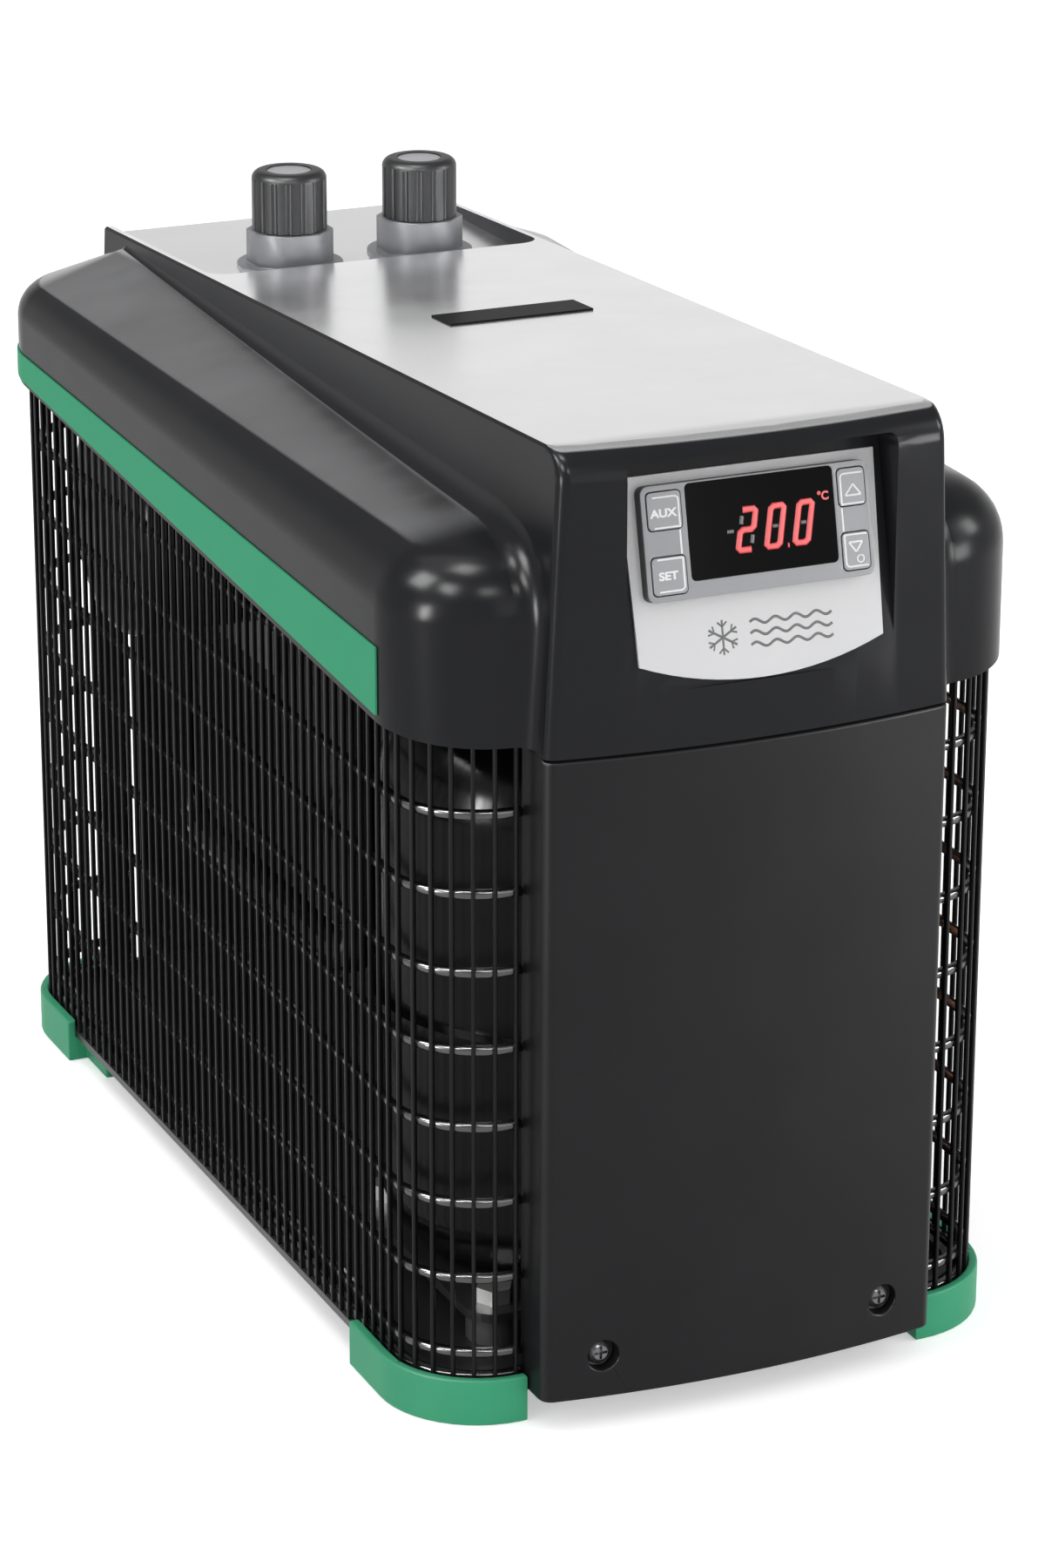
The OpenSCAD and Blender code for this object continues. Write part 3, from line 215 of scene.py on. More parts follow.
def finish(name, colour, rough, grain, bump, drift=0.12, uneven=0.06, **shader):
    """A solid finish: grain is the bump's scale and bump its depth in millimetres, drift and
    uneven how far the colour and the roughness change over the surface."""
    mat = bpy.data.materials.new(name)
    mat.use_nodes = True
    tree = mat.node_tree
    skin = tree.nodes["Principled BSDF"]
    where = tree.nodes.new("ShaderNodeTexCoord")
    slow = tree.nodes.new("ShaderNodeTexNoise")
    slow.inputs["Scale"].default_value = 1 / DRIFT_SIZE
    slow.inputs["Detail"].default_value = 3
    tree.links.new(where.outputs["Object"], slow.inputs["Vector"])
    tint = tree.nodes.new("ShaderNodeMix")
    tint.data_type = "RGBA"
    tint.inputs[6].default_value = [c * (1 - drift) for c in colour] + [1]
    tint.inputs[7].default_value = [min(1, c * (1 + drift)) for c in colour] + [1]
    tree.links.new(slow.outputs["Fac"], tint.inputs["Factor"])
    tree.links.new(tint.outputs[2], skin.inputs["Base Color"])
    polish = tree.nodes.new("ShaderNodeMapRange")
    polish.inputs["From Min"].default_value = 0.3
    polish.inputs["From Max"].default_value = 0.7
    polish.inputs["To Min"].default_value = rough * (1 - uneven)
    polish.inputs["To Max"].default_value = rough * (1 + uneven)
    tree.links.new(slow.outputs["Fac"], polish.inputs["Value"])
    tree.links.new(polish.outputs["Result"], skin.inputs["Roughness"])
    fine = tree.nodes.new("ShaderNodeTexNoise")
    fine.inputs["Scale"].default_value = 1 / (grain * MM)
    fine.inputs["Detail"].default_value = 2
    tree.links.new(where.outputs["Object"], fine.inputs["Vector"])
    relief = tree.nodes.new("ShaderNodeBump")
    relief.inputs["Strength"].default_value = 1
    relief.inputs["Distance"].default_value = bump * MM
    tree.links.new(fine.outputs["Fac"], relief.inputs["Height"])
    tree.links.new(relief.outputs["Normal"], skin.inputs["Normal"])
    for socket, value in shader.items():
        skin.inputs[socket.replace("_", " ")].default_value = value
    return mat


print("the recipe is ready")

# %% [markdown]
# Plastics, rubber and paint
#
# The casing is moulded in near-black plastics of three kinds: the open grilles are satin, the front
# panel has a fine even sheen, and the hood is polished. The feet are a grained green rubber, and the
# side stripes are a smooth film in the same green.

# %% Mix the casing's finishes
GREEN = (0.046, 0.335, 0.176)
black_steel = finish("black_steel", (0.012, 0.012, 0.013), 0.38, 0.8, 0.012)
grille_black = finish(
    "black_plastic", (0.007, 0.007, 0.008), 0.3, 0.5, 0.003, Specular_IOR_Level=0.12,
)
rail_black = finish("rail_gloss", (0.007, 0.007, 0.008), 0.22, 0.5, 0.002, Specular_IOR_Level=0.9)
panel_dark = finish(
    "panel_plastic", (0.0085, 0.0088, 0.0098), 0.36, 0.45, 0.003, Specular_IOR_Level=0.13,
)
green_rubber = finish("green_rubber", GREEN, 0.45, 0.4, 0.008, drift=0.06, Specular_IOR_Level=0.12)
green_film = finish("green_film", GREEN, 0.5, 0.3, 0.001, drift=0.03, Specular_IOR_Level=0.03)
black_screw = finish("black_screw", (0.14, 0.14, 0.145), 0.3, 0.6, 0.004, Metallic=0.8)
badge_black = finish(
    "badge_black", (0.005, 0.005, 0.005), 0.3, 0.3, 0.001, Specular_IOR_Level=0.01,
)
label_silver = finish(
    "label_silver", (0.58, 0.58, 0.59), 0.42, 0.25, 0.001, drift=0.04, Specular_IOR_Level=0.2,
)
bezel_grey = finish("bezel_grey", (0.165, 0.168, 0.18), 0.42, 0.35, 0.004, drift=0.05)
key_grey = finish("key_grey", (0.19, 0.193, 0.205), 0.45, 0.35, 0.004, drift=0.05)
case_black = finish("case_black", (0.02, 0.02, 0.021), 0.5, 0.5, 0.01)
window_black = finish(
    "window_black", (0.003, 0.003, 0.0033), 0.1, 0.4, 0.0002, Specular_IOR_Level=0.06,
)
black_rubber = finish("black_rubber", (0.012, 0.012, 0.012), 0.6, 0.6, 0.012)
print("casing finishes mixed")

# %% [markdown]
# Fittings, and the cold side inside
#
# The hose fittings are grey engineering plastic with a faint mould grain. Behind the grille the camera
# catches glints of black enamel on the compressor, copper pipes, bright fins and foam sleeves.

# %% Mix the other finishes
fitting_grey = finish(
    "fitting_grey", (0.16, 0.162, 0.172), 0.36, 0.5, 0.005, drift=0.07, Specular_IOR_Level=0.35,
)
nut_dark = finish("nut_dark", (0.02, 0.0205, 0.022), 0.36, 0.45, 0.006, Specular_IOR_Level=0.2)
plug_light = finish("plug_light", (0.32, 0.32, 0.33), 0.4, 0.4, 0.004)
foam_black = finish("foam_black", (0.002, 0.002, 0.002), 0.25, 1.4, 0.012, Specular_IOR_Level=0.08)
compressor_black = finish(
    "compressor_black", (0.003, 0.003, 0.0035), 0.2, 6, 0.03, Specular_IOR_Level=0.1,
)
zinc_steel = finish("zinc_steel", (0.45, 0.45, 0.44), 0.35, 0.8, 0.008, Metallic=1.0)
fin_aluminium = finish("fin_aluminium", (0.5, 0.51, 0.52), 0.35, 0.8, 0.01, Metallic=1.0)
copper = finish("copper", (0.62, 0.29, 0.19), 0.28, 1.2, 0.01, Metallic=1.0)
motor_grey = finish("motor_grey", (0.06, 0.06, 0.062), 0.4, 0.7, 0.01)
fan_plastic = finish("fan_plastic", (0.014, 0.014, 0.015), 0.35, 0.5, 0.005)
print("inner finishes mixed")

# %% [markdown]
# The hood's polished finish and painted shoulder sheen
#
# The hood is one moulding, but its deck shines like a mirror and its sides are a dark gloss. On its
# shoulders a metallic grey is painted as a sheen, in place of the bright reflection along their tops. One
# material has all three. The way the surface faces and its height say which it is: what looks up above
# the shoulders is polished, and what looks up below them carries the painted grey sheen, which fades out
# towards the front.

# %% Measure where the deck and the painted sheen lie
DECK_OVER = 0.2885
DECK_BLUR = 0.0004
DECK_FACES = (0.90, 0.97)
# The shoulders' grey is a painted sheen: faces that look up below the deck get it, and it fades out at
# the front.
SHEEN_FACES = (0.915, 0.955)
SHEEN_ENDS = (-0.162, -0.130)
PAINTED_SHEEN_GREY = (0.31, 0.312, 0.32, 1)
DECK_BRIGHT = (0.83, 0.83, 0.84, 1)
hood_gloss = finish(
    "hood_plastic", (0.016, 0.0165, 0.018), 0.24, 0.9, 0.0006, drift=0.06, uneven=0.12,
    Specular_IOR_Level=0.06,
)


# %% Make a ramp between two levels
def ramp(tree, source, low, high):
    """A smooth step of a value: 0 at low and 1 at high, either way round."""
    step = tree.nodes.new("ShaderNodeMapRange")
    step.interpolation_type = "SMOOTHSTEP"
    step.inputs["From Min"].default_value = low
    step.inputs["From Max"].default_value = high
    tree.links.new(source, step.inputs["Value"])
    return step.outputs["Result"]


def both(tree, a, b, operation="MULTIPLY"):
    """Two masks in one."""
    joined = tree.nodes.new("ShaderNodeMath")
    joined.operation = operation
    tree.links.new(a, joined.inputs[0])
    tree.links.new(b, joined.inputs[1])
    return joined.outputs[0]


def over(tree, mask, below, colour):
    """Lays a colour over another where the mask is 1."""
    layer = tree.nodes.new("ShaderNodeMix")
    layer.data_type = "RGBA"
    tree.links.new(mask, layer.inputs["Factor"])
    tree.links.new(below, layer.inputs[6])
    layer.inputs[7].default_value = colour
    return layer.outputs[2]


# %% Polish the deck and paint a grey sheen on the shoulders
def polish_deck_and_paint_shoulder_sheen(mat):
    """Adds the mirror deck, and a painted metallic sheen on the shoulders, to the dark gloss."""
    tree = mat.node_tree
    skin = tree.nodes["Principled BSDF"]
    where = tree.nodes.new("ShaderNodeTexCoord")
    place = tree.nodes.new("ShaderNodeSeparateXYZ")
    facing = tree.nodes.new("ShaderNodeSeparateXYZ")
    tree.links.new(where.outputs["Object"], place.inputs[0])
    tree.links.new(where.outputs["Normal"], facing.inputs[0])
    high = ramp(tree, place.outputs["Z"], DECK_OVER - DECK_BLUR, DECK_OVER + DECK_BLUR)
    low = ramp(tree, place.outputs["Z"], DECK_OVER + DECK_BLUR, DECK_OVER - DECK_BLUR)
    deck = both(tree, ramp(tree, facing.outputs["Z"], *DECK_FACES), high)
    # Painted sheen: the shoulders' tops turn metallic grey, fading out towards the front.
    painted_sheen = both(tree, ramp(tree, facing.outputs["Z"], *SHEEN_FACES), low)
    painted_sheen = both(tree, painted_sheen, ramp(tree, place.outputs["Y"], *SHEEN_ENDS))
    dark = skin.inputs["Base Color"].links[0].from_socket
    grey = over(tree, painted_sheen, dark, PAINTED_SHEEN_GREY)
    bright = over(tree, deck, grey, DECK_BRIGHT)
    tree.links.new(bright, skin.inputs["Base Color"])
    tree.links.new(both(tree, painted_sheen, deck, "ADD"), skin.inputs["Metallic"])


polish_deck_and_paint_shoulder_sheen(hood_gloss)
print("hood finish mixed")

# %% [markdown]
# Dress the CAD pieces
#
# Each node names its finish in the record, so one table gives every solid its material.

# %% Give each node its material
FINISHES = {
    "black_steel": black_steel,
    "green_rubber": green_rubber,
    "green_film": green_film,
    "black_plastic": grille_black,
    "panel_plastic": panel_dark,
    "hood_plastic": hood_gloss,
    "black_screw": black_screw,
    "badge_black": badge_black,
    "label_silver": label_silver,
    "bezel_grey": bezel_grey,
    "key_grey": key_grey,
    "window_black": window_black,
    "case_black": case_black,
    "black_rubber": black_rubber,
    "fitting_grey": fitting_grey,
    "nut_dark": nut_dark,
    "plug_light": plug_light,
    "foam_black": foam_black,
    "compressor_black": compressor_black,
    "zinc_steel": zinc_steel,
    "fin_aluminium": fin_aluminium,
    "copper": copper,
    "motor_grey": motor_grey,
    "fan_plastic": fan_plastic,
}
node_slot = {}
for entry in frame["record"]["subparts"]:
    node_slot[entry["node"]] = entry["material_slot"]
for node_name, node in frame["nodes"].items():
    node.data.materials.clear()
    node.data.materials.append(FINISHES[node_slot[node_name]])
print("dressed", len(node_slot), "nodes")

# %% [markdown]
# Smooth skins for the moulded pieces
#
# A CAD node arrives as loose flat triangles. On curved mouldings that shows as facets in the
# reflections. A copy has its doubles merged, its flat areas kept flat and its round edges shaded
# smoothly, and stands for the node. Some copies also get their hard edges rounded a little.


# %% Make a smooth twin of a node
MERGE_WITHIN = 0.01 * MM
TINY_EDGE = 0.005 * MM
SMOOTH_BELOW = math.radians(35)
BREAK_ABOVE = math.radians(50)


def smooth_twin(node_name, rounding=0):
    """A merged copy of the node with smooth shading on gentle edges, true flats and, where a
    rounding in millimetres is given, broken edges."""
    source = frame["nodes"][node_name]
    twin_mesh = source.data.copy()
    twin_mesh.name = node_name + "_skin"
    shell = bmesh.new()
    shell.from_mesh(twin_mesh)
    bmesh.ops.remove_doubles(shell, verts=shell.verts, dist=MERGE_WITHIN)
    bmesh.ops.dissolve_degenerate(shell, edges=shell.edges, dist=TINY_EDGE)
    for face in shell.faces:
        face.smooth = True
    for edge in shell.edges:
        edge.smooth = len(edge.link_faces) == 2 and edge.calc_face_angle(0) < SMOOTH_BELOW
    shell.to_mesh(twin_mesh)
    shell.free()
    twin = bpy.data.objects.new(node_name + "_skin", twin_mesh)
    bpy.context.scene.collection.objects.link(twin)
    if rounding:
        broken = twin.modifiers.new("broken_edges", "BEVEL")
        broken.width = rounding * MM
        broken.segments = 2
        broken.limit_method = "ANGLE"
        broken.angle_limit = BREAK_ABOVE
    weigh = twin.modifiers.new("true_flats", "WEIGHTED_NORMAL")
    weigh.keep_sharp = not rounding
    weigh.weight = 100
    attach(twin, source["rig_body"])
    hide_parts(node_name)
    return twin


SMOOTHED = [
    "hood", "inlet_ring_nut", "outlet_ring_nut", "compressor_shell", "suction_pipe", "discharge_pipe",
    "liquid_pipe", "capillary_pipe", "fan_motor", "stripe_left", "stripe_right", "evaporator",
]
ROUNDED = {
    "front_panel": 0.6, "foot_front_left": 0.8, "foot_front_right": 0.8, "foot_rear_left": 0.8,
    "foot_rear_right": 0.8, "label_plate": 0.2, "controller_bezel": 0.5, "key_aux": 0.15, "key_set": 0.15,
    "key_up": 0.15, "key_down": 0.15, "inlet_fitting": 0.35, "outlet_fitting": 0.35,
}
for node_name in SMOOTHED:
    smooth_twin(node_name)
for node_name, rounding in ROUNDED.items():
    smooth_twin(node_name, rounding)
print("smoothed", len(SMOOTHED) + len(ROUNDED), "pieces")

# %% [markdown]
# The seam under the nose
#
# The hood's nose and the front panel are two mouldings, and a fine dark seam parts them. The outer edge
# of the panel's top is lowered on its twin, so the seam is a true groove, closed behind.

# %% Open the seam
SEAM_GAP = 1.1 * MM
TOP_WITHIN = 0.5 * MM
panel_twin = bpy.data.objects["front_panel_skin"]
panel_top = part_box("front_panel")[1][2]
panel_shell = bmesh.new()
panel_shell.from_mesh(panel_twin.data)
panel_shell.normal_update()
lowered = 0
for vertex in panel_shell.verts:
    looks = [face.normal for face in vertex.link_faces]
    outside = any(n.y < -0.5 for n in looks) and not any(n.y > 0.5 for n in looks)
    if outside and vertex.co.z > panel_top - TOP_WITHIN:
        vertex.co.z -= SEAM_GAP
        lowered += 1
panel_shell.to_mesh(panel_twin.data)
panel_shell.free()
print("lowered", lowered, "points of the panel's top, which was at", round(panel_top / MM, 1), "mm")

# %% [markdown]
# The plate on the deck
#
# The ends of the solid plate lean. The picture shows square ends and a slightly deeper plate, so the
# twin is pushed square and drawn out along the deck's slope.

# %% Square the plate
PLATE_SKEW = 4 / 13
PLATE_DEEPER = 0.2
plate_twin = smooth_twin("badge_plate")
plate_low, plate_high = (Vector(c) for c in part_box("badge_plate"))
plate_y = (plate_low.y + plate_high.y) / 2
plate_up = max((face.normal for face in plate_twin.data.polygons), key=lambda n: n.z).copy()
deck_slope = -plate_up.y / plate_up.z
for vertex in plate_twin.data.vertices:
    behind = vertex.co.y - plate_y
    vertex.co.x -= PLATE_SKEW * behind
    vertex.co.y += PLATE_DEEPER * behind
    vertex.co.z += PLATE_DEEPER * behind * deck_slope
print("plate squared on a slope of", round(deck_slope, 3))

# %% [markdown]
# The open grilles
#
# A grille is one open moulding: thin upright ribs outside of cross rails, wrapped round both corners of
# its side. The camera sees the ribs' rounded edges and the light line on each rail, so both are drawn
# anew with bevelled edges, a little slimmer than the solid. One rib is drawn once and planted in a loop.
# A rail starts as a bevelled face that is spun round the corners and pushed along the side.

# %% Measure the grille
grille_low, grille_high = (Vector(c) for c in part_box("grille_left"))
CORNER = 30 * MM
CORNER_GAPS = 7
RIB_PITCH = 6.7 * MM
RIB_WIDE = 1.3 * MM
RIB_DEEP = 1.5 * MM
RIB_ROUNDING = 0.45 * MM
RAIL_SET = 1.2 * MM
RAIL_DEEP = 2.4 * MM
RAIL_HIGH = 2.8 * MM
RAIL_LOW = 22.2 * MM
RAIL_PITCH = 25.05 * MM
RAIL_COUNT = 10
RAIL_START_X = -67.6 * MM
RAIL_END_X = -59 * MM
RAIL_ROUNDING = 1.0 * MM
STRIP_HIGH = 4 * MM
STRIP_ROUNDING = 0.5 * MM
CORNER_STEPS = 10
corner_x = grille_low.x + CORNER
corner_front = grille_low.y + CORNER
corner_rear = grille_high.y - CORNER
side_length = corner_rear - corner_front
side_gaps = round(side_length / RIB_PITCH)
print("grille side", round(side_length / MM), "mm with", side_gaps, "gaps")


# %% Draw one rib
rib_shell = bmesh.new()
bmesh.ops.create_cube(rib_shell, size=1)
rib_tall = grille_high.z - grille_low.z
bmesh.ops.scale(rib_shell, verts=rib_shell.verts, vec=(RIB_DEEP, RIB_WIDE, rib_tall))
bmesh.ops.translate(rib_shell, verts=rib_shell.verts, vec=(-RIB_DEEP / 2, 0, rib_tall / 2))
outer = [e for e in rib_shell.edges if all(v.co.x > -RIB_DEEP / 2 for v in e.verts)
         and abs(e.verts[0].co.z - e.verts[1].co.z) > rib_tall / 2]
bmesh.ops.bevel(
    rib_shell, geom=outer, offset=RIB_ROUNDING, affect="EDGES", segments=2, profile=0.5, material=-1,
)
rib_mesh = bpy.data.meshes.new("rib")
rib_shell.to_mesh(rib_mesh)
rib_shell.free()


def plant_rib(shell, x, y, facing):
    """Stands a rib with the middle of its outer face at x, y, looking towards an angle from +X."""
    first = len(shell.verts)
    shell.from_mesh(rib_mesh)
    shell.verts.ensure_lookup_table()
    place = Matrix.Translation((x, y, grille_low.z)) @ Matrix.Rotation(math.radians(facing), 4, "Z")
    bmesh.ops.transform(shell, matrix=place, verts=shell.verts[first:])


print("a rib has", len(rib_mesh.polygons), "faces")


# %% Sweep one rail
def push(shell, face, move):
    """Pushes a face along a straight line and returns it at its new place."""
    made = bmesh.ops.extrude_face_region(shell, geom=[face])["geom"]
    fresh = [g for g in made if isinstance(g, bmesh.types.BMVert)]
    bmesh.ops.translate(shell, verts=fresh, vec=move)
    return next(g for g in made if isinstance(g, bmesh.types.BMFace))


def round_the_corner(shell, face, centre):
    """Spins a face a quarter turn round a corner's centre."""
    made = bmesh.ops.spin(
        shell, geom=[face, *face.edges, *face.verts], cent=centre, axis=(0, 0, 1), angle=-math.pi / 2,
        steps=CORNER_STEPS,
    )
    return next(g for g in made["geom_last"] if isinstance(g, bmesh.types.BMFace))


def sweep_rail(shell, z0, z1, rounding):
    """A rail between two heights, from its front end round both corners to its rear end."""
    rail = bmesh.new()
    bmesh.ops.create_grid(rail, x_segments=1, y_segments=1, size=0.5)
    bmesh.ops.scale(rail, verts=rail.verts, vec=(RAIL_DEEP, z1 - z0, 1))
    outside = [v for v in rail.verts if v.co.x < 0]
    bmesh.ops.bevel(
        rail, geom=outside, offset=rounding, affect="VERTICES", segments=3, profile=0.5, material=-1,
    )
    rail_y = grille_low.y + RAIL_SET + RAIL_DEEP / 2
    stand = Matrix.Translation((RAIL_START_X, rail_y, (z0 + z1) / 2))
    stand = stand @ Matrix.Rotation(math.pi / 2, 4, "Z") @ Matrix.Rotation(math.pi / 2, 4, "X")
    bmesh.ops.transform(rail, matrix=stand, verts=rail.verts)
    rail.faces.ensure_lookup_table()
    end = push(rail, rail.faces[0], (corner_x - RAIL_START_X, 0, 0))
    end = round_the_corner(rail, end, (corner_x, corner_front, 0))
    end = push(rail, end, (0, side_length, 0))
    end = round_the_corner(rail, end, (corner_x, corner_rear, 0))
    push(rail, end, (RAIL_END_X - corner_x, 0, 0))
    for face in rail.faces:
        face.material_index = 1
    rail_mesh = bpy.data.meshes.new("rail")
    rail.to_mesh(rail_mesh)
    rail.free()
    shell.from_mesh(rail_mesh)
    bpy.data.meshes.remove(rail_mesh)


# %% Build both grilles
def build_grille(name, side):
    """The left grille, or its mirror image when side is 1."""
    shell = bmesh.new()
    for i in range(side_gaps + 1):
        plant_rib(shell, grille_low.x, corner_front + side_length * i / side_gaps, 180)
    for i in range(1, CORNER_GAPS + 1):
        turn = 90 * i / CORNER_GAPS
        lean = math.radians(turn)
        out_x = corner_x - CORNER * math.cos(lean)
        plant_rib(shell, out_x, corner_front - CORNER * math.sin(lean), 180 + turn)
        plant_rib(shell, out_x, corner_rear + CORNER * math.sin(lean), 180 - turn)
    for x in (RAIL_END_X - RIB_WIDE / 2, RAIL_END_X - RIB_PITCH):
        plant_rib(shell, x, grille_high.y, 90)
    sweep_rail(shell, grille_low.z, grille_low.z + STRIP_HIGH, STRIP_ROUNDING)
    for i in range(RAIL_COUNT):
        middle = RAIL_LOW + i * RAIL_PITCH
        sweep_rail(shell, middle - RAIL_HIGH / 2, middle + RAIL_HIGH / 2, RAIL_ROUNDING)
    if side > 0:
        bmesh.ops.transform(shell, matrix=Matrix.Scale(-1, 4, (1, 0, 0)), verts=shell.verts)
    bmesh.ops.recalc_face_normals(shell, faces=shell.faces)
    mesh = bpy.data.meshes.new(name)
    shell.to_mesh(mesh)
    shell.free()
    mesh.materials.append(grille_black)
    mesh.materials.append(rail_black)
    mesh.shade_smooth()
    grille = bpy.data.objects.new(name, mesh)
    bpy.context.scene.collection.objects.link(grille)
    sharp = grille.modifiers.new("true_flats", "WEIGHTED_NORMAL")
    sharp.weight = 100
    return grille


for node_name, side in (("grille_left", -1), ("grille_right", 1)):
    grille = build_grille(node_name + "_open", side)
    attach(grille, frame["nodes"][node_name]["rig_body"])
    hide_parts(node_name)
    print(grille.name, len(grille.data.polygons), "faces")

# %% [markdown]
# The temperature display
#
# On the dark window is a red display that reads a temperature with one decimal. Each digit is one line
# that bends softly where its lit bars meet, and a few unlit bars show faintly beside them. All of it is
# laid out on the label's tilted plane, so one matrix brings that plane's X, Y and height into the object.

# %% Set up the label's plane
LABEL_TILT = math.radians(12.9)
LABEL_PLACE = (0.001, -0.1944, 0.270)
label_plane = Matrix.Translation(LABEL_PLACE) @ Matrix.Rotation(math.pi / 2 - LABEL_TILT, 4, "X")
WINDOW_FACE = 4.2 * MM
KEY_FACE = 4.3 * MM
BEZEL_FACE = 4.0 * MM
BEZEL_FRONT = 0.6 * MM
SIDE_BLACK = (0.012, 0.012, 0.013, 1)
ON_WINDOW = (WINDOW_FACE, "casing", "window_black")
ON_BEZEL = (BEZEL_FACE, "casing", "bezel_grey")
ON_LABEL = (0, "casing", "label_silver")


def on_key(body):
    """Where a print on a key lies: its height, its body and its slot."""
    return (KEY_FACE, body, "key_grey")


def lay_on_label(shell, height):
    """Moves a flat bmesh, drawn in the label's plane, to its height and into the object."""
    bmesh.ops.translate(shell, verts=shell.verts, vec=(0, 0, height))
    bmesh.ops.transform(shell, matrix=label_plane, verts=shell.verts)


def keep_piece(shell, name, body, mat):
    """Turns a finished bmesh into a piece that rides on a body."""
    bmesh.ops.recalc_face_normals(shell, faces=shell.faces)
    mesh = bpy.data.meshes.new(name)
    shell.to_mesh(mesh)
    shell.free()
    mesh.materials.append(mat)
    piece = bpy.data.objects.new(name, mesh)
    bpy.context.scene.collection.objects.link(piece)
    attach(piece, body)


def blacken_the_sides(mat, height):
    """Darkens the bezel below a height over the label, so that only its face is grey."""
    tree = mat.node_tree
    skin = tree.nodes["Principled BSDF"]
    where = tree.nodes.new("ShaderNodeTexCoord")
    out = tree.nodes.new("ShaderNodeVectorMath")
    out.operation = "DOT_PRODUCT"
    outwards = label_plane.to_3x3() @ Vector((0, 0, 1))
    out.inputs[1].default_value = outwards
    tree.links.new(where.outputs["Object"], out.inputs[0])
    level = outwards.dot(label_plane.translation) + height
    side = ramp(tree, out.outputs["Value"], level + 0.1 * MM, level - 0.1 * MM)
    grey = skin.inputs["Base Color"].links[0].from_socket
    tree.links.new(over(tree, side, grey, SIDE_BLACK), skin.inputs["Base Color"])


blacken_the_sides(bezel_grey, BEZEL_FACE - BEZEL_FRONT)
print("label plane ready")

# %% Mix the light of the digits
digit_red = finish("digit_red", (0.35, 0.012, 0.014), 0.5, 0.4, 0.0005, drift=0.04)
glow = digit_red.node_tree.nodes["Principled BSDF"]
glow.inputs["Emission Color"].default_value = (0.62, 0.028, 0.034, 1)
glow.inputs["Emission Strength"].default_value = 0.6
unlit_segment = finish("unlit_segment", (0.03, 0.02, 0.02), 0.4, 0.4, 0.0005)
legend_white = finish("legend_white", (0.66, 0.66, 0.67), 0.5, 0.3, 0.001, drift=0.04)
print("display finishes mixed")


# %% Draw a line of print
PRINT_HIGH = 0.08 * MM
PRINT_LIFT = 0.01 * MM
BEND = 1.2


def curve_to_shell(name, curve):
    """A bmesh of all that a curve or a text shows."""
    holder = bpy.data.objects.new(name, curve)
    bpy.context.scene.collection.objects.link(holder)
    bpy.context.view_layer.update()
    graph = bpy.context.evaluated_depsgraph_get()
    mesh = bpy.data.meshes.new_from_object(holder.evaluated_get(graph))
    bpy.data.objects.remove(holder)
    shell = bmesh.new()
    shell.from_mesh(mesh)
    bpy.data.meshes.remove(mesh)
    return shell


def print_line(name, points, width, surface, body, slot, mat, closed=False):
    """A flat line of even width through points of the label's plane, given in millimetres."""
    path = bpy.data.curves.new(name, "CURVE")
    path.dimensions = "3D"
    path.bevel_depth = width / 2
    path.bevel_resolution = 1
    path.use_fill_caps = True
    spline = path.splines.new("POLY")
    spline.points.add(len(points) - 1)
    for place, (x, y) in zip(spline.points, points):
        place.co = (x * MM, y * MM, 0, 1)
    spline.use_cyclic_u = closed
    shell = curve_to_shell(name + "_path", path)
    bmesh.ops.scale(shell, verts=shell.verts, vec=(1, 1, PRINT_HIGH / width))
    lay_on_label(shell, surface + PRINT_LIFT)
    keep_piece(shell, name, body, mat)


def bend(x, y, turn_from, turn_to):
    """Four points of a rounded corner round a centre, in millimetres and degrees."""
    angles = [math.radians(turn_from + (turn_to - turn_from) * i / 3) for i in range(4)]
    return [(x + BEND * math.cos(a), y + BEND * math.sin(a)) for a in angles]


def soften(points, cut, closed=False):
    """Cuts each corner of a route by that many millimetres."""
    count = len(points)
    route = []
    for i, corner in enumerate(points):
        corner = Vector(corner)
        if not closed and i in (0, count - 1):
            route.append(corner)
            continue
        for other in (points[i - 1], points[(i + 1) % count]):
            route.append(corner + (Vector(other) - corner).normalized() * cut)
    return route


print("line helper ready")


# %% Light the digits
DIGIT_W = 4.3
DIGIT_H = 11.7
DIGIT_LEFT = -7.2
DIGIT_LOW = 4.1
DIGIT_PITCH = 9.25
DIGIT_CUT = 0.8
DIGIT_BAR = 2.0 * MM
DOT_BAR = 1.5 * MM
UNLIT_BAR = 1.3 * MM
LEAN = math.tan(math.radians(12))
ROUTES = {
    "two": ([(0, 2), (1, 2), (1, 1), (0, 1), (0, 0), (1, 0)], False),
    "zero": ([(0, 0), (1, 0), (1, 2), (0, 2)], True),
}


def on_display(place, u, v):
    """A point of a digit: u across, v up in half digits, on the slant."""
    rise = v * DIGIT_H / 2
    return (DIGIT_LEFT + place * DIGIT_PITCH + u * DIGIT_W + LEAN * rise, DIGIT_LOW + rise)


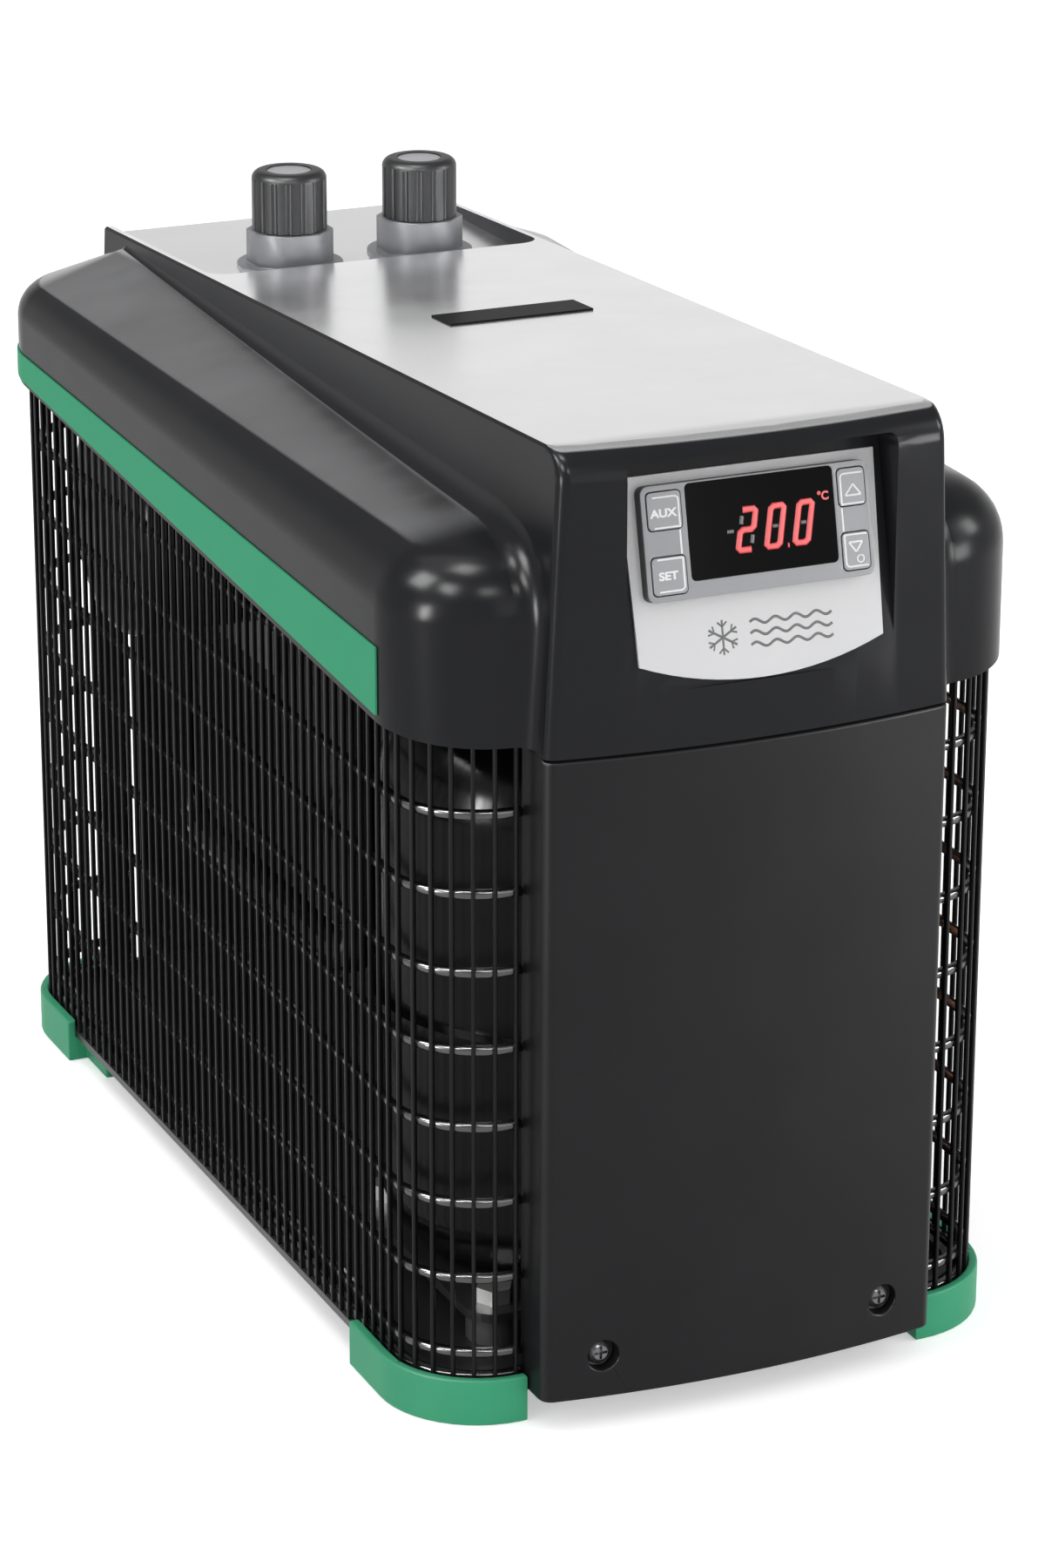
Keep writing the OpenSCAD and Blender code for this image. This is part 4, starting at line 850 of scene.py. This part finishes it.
for place, shown in enumerate(("two", "zero", "zero")):
    route, closed = ROUTES[shown]
    points = soften([on_display(place, u, v) for u, v in route], DIGIT_CUT, closed)
    print_line(f"digit_{place}", points, DIGIT_BAR, *ON_WINDOW, digit_red, closed)
last_x, last_y = on_display(2, 0, 0)
dot = [(last_x - 2.3, last_y - 0.3), (last_x - 1.8, last_y - 0.3)]
print_line("decimal_dot", dot, DOT_BAR, *ON_WINDOW, digit_red)
UNLIT = [
    (0, 0, 1.3, 0, 1.7),
    (0, 1, 0.3, 1, 0.7),
    (1, 0.3, 1, 0.7, 1),
    (2, 0.3, 1, 0.7, 1),
    (0, -1, 1, -0.5, 1),
]
for i, (place, u0, v0, u1, v1) in enumerate(UNLIT):
    bar = [on_display(place, u0, v0), on_display(place, u1, v1)]
    print_line(f"unlit_bar_{i}", bar, UNLIT_BAR, *ON_WINDOW, unlit_segment)
print("digits lit")

# %% [markdown]
# Legends on the keys
#
# The keys carry plain words and signs in white print: AUX and SET on the left, arrows on the right.
# Letters are made as text, turned into a mesh and laid on the key's face, so they move with the key.


# %% Print a word on a key
CAPITAL_SHARE = 0.7
LETTER_HALF = 0.03 * MM
LETTER_BOLD = 0.12 * MM
LETTER_LIFT = 0.02 * MM


def print_word(name, word, height, centre, surface, body, slot, mat, stretch=1.0):
    """Thin raised letters, centred on a point of the label's plane."""
    letters = bpy.data.curves.new(name, "FONT")
    letters.body = word
    letters.size = height / CAPITAL_SHARE
    letters.align_x = "CENTER"
    letters.align_y = "CENTER"
    letters.extrude = LETTER_HALF
    letters.offset = LETTER_BOLD
    shell = curve_to_shell(name + "_text", letters)
    bmesh.ops.scale(shell, verts=shell.verts, vec=(stretch, 1, 1))
    bmesh.ops.translate(shell, verts=shell.verts, vec=(centre[0], centre[1], 0))
    lay_on_label(shell, surface + LETTER_LIFT)
    keep_piece(shell, name, body, mat)


KEY_X_LEFT = -30.2 * MM
KEY_WORD = 2.3 * MM
KEY_STRETCH = 1.2
UNIT_WORD = 2.4 * MM
aux_at = (KEY_X_LEFT, 17.7 * MM)
set_at = (KEY_X_LEFT, -0.6 * MM)
unit_at = (21.6 * MM, 16.8 * MM)
print_word("legend_aux", "AUX", KEY_WORD, aux_at, *on_key("aux_key"), legend_white, KEY_STRETCH)
print_word("legend_set", "SET", KEY_WORD, set_at, *on_key("set_key"), legend_white, KEY_STRETCH)
print_word("unit_sign", "\u00b0C", UNIT_WORD, unit_at, *ON_WINDOW, digit_red)
print("words printed")

# %% [markdown]
# Brackets and arrows
#
# Thin white lines frame the two rows of keys, and the keys on the right carry arrows and a small ring.
# Each line is a curve with a round section, pressed flat, so that its bends and ends are smooth. A line
# on a key rides with it, and the stretch between two keys stays on the bezel.


# %% Frame the keys
LINE = 0.65 * MM
BRACKETS = {
    "left": (-1, -33.4, -25.2, "aux_key", "set_key"),
    "right": (1, 34.9, 27.6, "up_key", "down_key"),
}
for side_name, (side, tip, spine, upper, lower) in BRACKETS.items():
    inner = spine + side * BEND
    start, stop = (90, 0) if side < 0 else (90, 180)
    top = [(tip, 22.5)] + bend(inner, 21.3, start, stop) + [(spine, 13.2)]
    foot = [(tip, -5.0)] + bend(inner, -3.8, -start, -stop) + [(spine, 4.6)]
    tick_top = [(tip, 13.6), (spine, 13.6)]
    tick_foot = [(tip, 4.4), (spine, 4.4)]
    middle = [(spine, 12.5), (spine, 5.5)]
    print_line("bracket_top_" + side_name, top, LINE, *on_key(upper), legend_white)
    print_line("bracket_foot_" + side_name, foot, LINE, *on_key(lower), legend_white)
    print_line("tick_top_" + side_name, tick_top, LINE, *on_key(upper), legend_white)
    print_line("tick_foot_" + side_name, tick_foot, LINE, *on_key(lower), legend_white)
    print_line("bracket_middle_" + side_name, middle, LINE, *ON_BEZEL, legend_white)
print("keys framed")

# %% Draw the arrows and the ring
ARROW_CUT = 0.3
ARROW_LINE = 0.75 * MM
RING_LINE = 0.45 * MM
RING_RADIUS = 1.1
RING_X = 32.4
RING_Y = -2.9
arrow_up = soften([(28.9, 16), (31.6, 19.3), (34.1, 16)], ARROW_CUT, True)
arrow_down = soften([(28.9, 2.2), (33.3, 2.2), (31.1, -0.8)], ARROW_CUT, True)
print_line("arrow_up", arrow_up, ARROW_LINE, *on_key("up_key"), legend_white, closed=True)
print_line("arrow_down", arrow_down, ARROW_LINE, *on_key("down_key"), legend_white, closed=True)
ring = []
for i in range(12):
    turn = i * math.pi / 6
    ring.append((RING_X + RING_RADIUS * math.cos(turn), RING_Y + RING_RADIUS * math.sin(turn)))
print_line("power_ring", ring, RING_LINE, *on_key("down_key"), legend_white, closed=True)
print("arrows drawn")

# %% [markdown]
# A plain print on the label
#
# Below the controller the label has room for a print. Here it holds signs that any cooler could have: a
# snowflake with six arms, and three lines of ripples for the water.

# %% Print the snowflake and the ripples
print_ink = finish("print_ink", (0.035, 0.035, 0.037), 0.45, 0.3, 0.001)
FLAKE_X = -12.5
FLAKE_Y = -21.0
FLAKE_LINE = 0.7 * MM
BARB_LINE = 0.6 * MM
RIPPLE_LINE = 0.8 * MM
for arm in range(6):
    aim = math.radians(60 * arm + 30)
    along = Vector((math.cos(aim), math.sin(aim)))
    across = Vector((-along.y, along.x))
    hub = Vector((FLAKE_X, FLAKE_Y))
    print_line(f"flake_arm_{arm}", [hub, hub + along * 5.2], FLAKE_LINE, *ON_LABEL, print_ink)
    barb = [hub + along * 4.6 + across * 1.5, hub + along * 3.1, hub + along * 4.6 - across * 1.5]
    print_line(f"flake_barb_{arm}", barb, BARB_LINE, *ON_LABEL, print_ink)
for row in range(3):
    ripple = []
    for i in range(41):
        wave = 0.75 * math.sin(2 * math.pi * i / 10)
        ripple.append((-3.5 + 0.675 * i, -17.6 - 3.4 * row + wave))
    print_line(f"ripple_{row}", ripple, RIPPLE_LINE, *ON_LABEL, print_ink)
print("label printed")
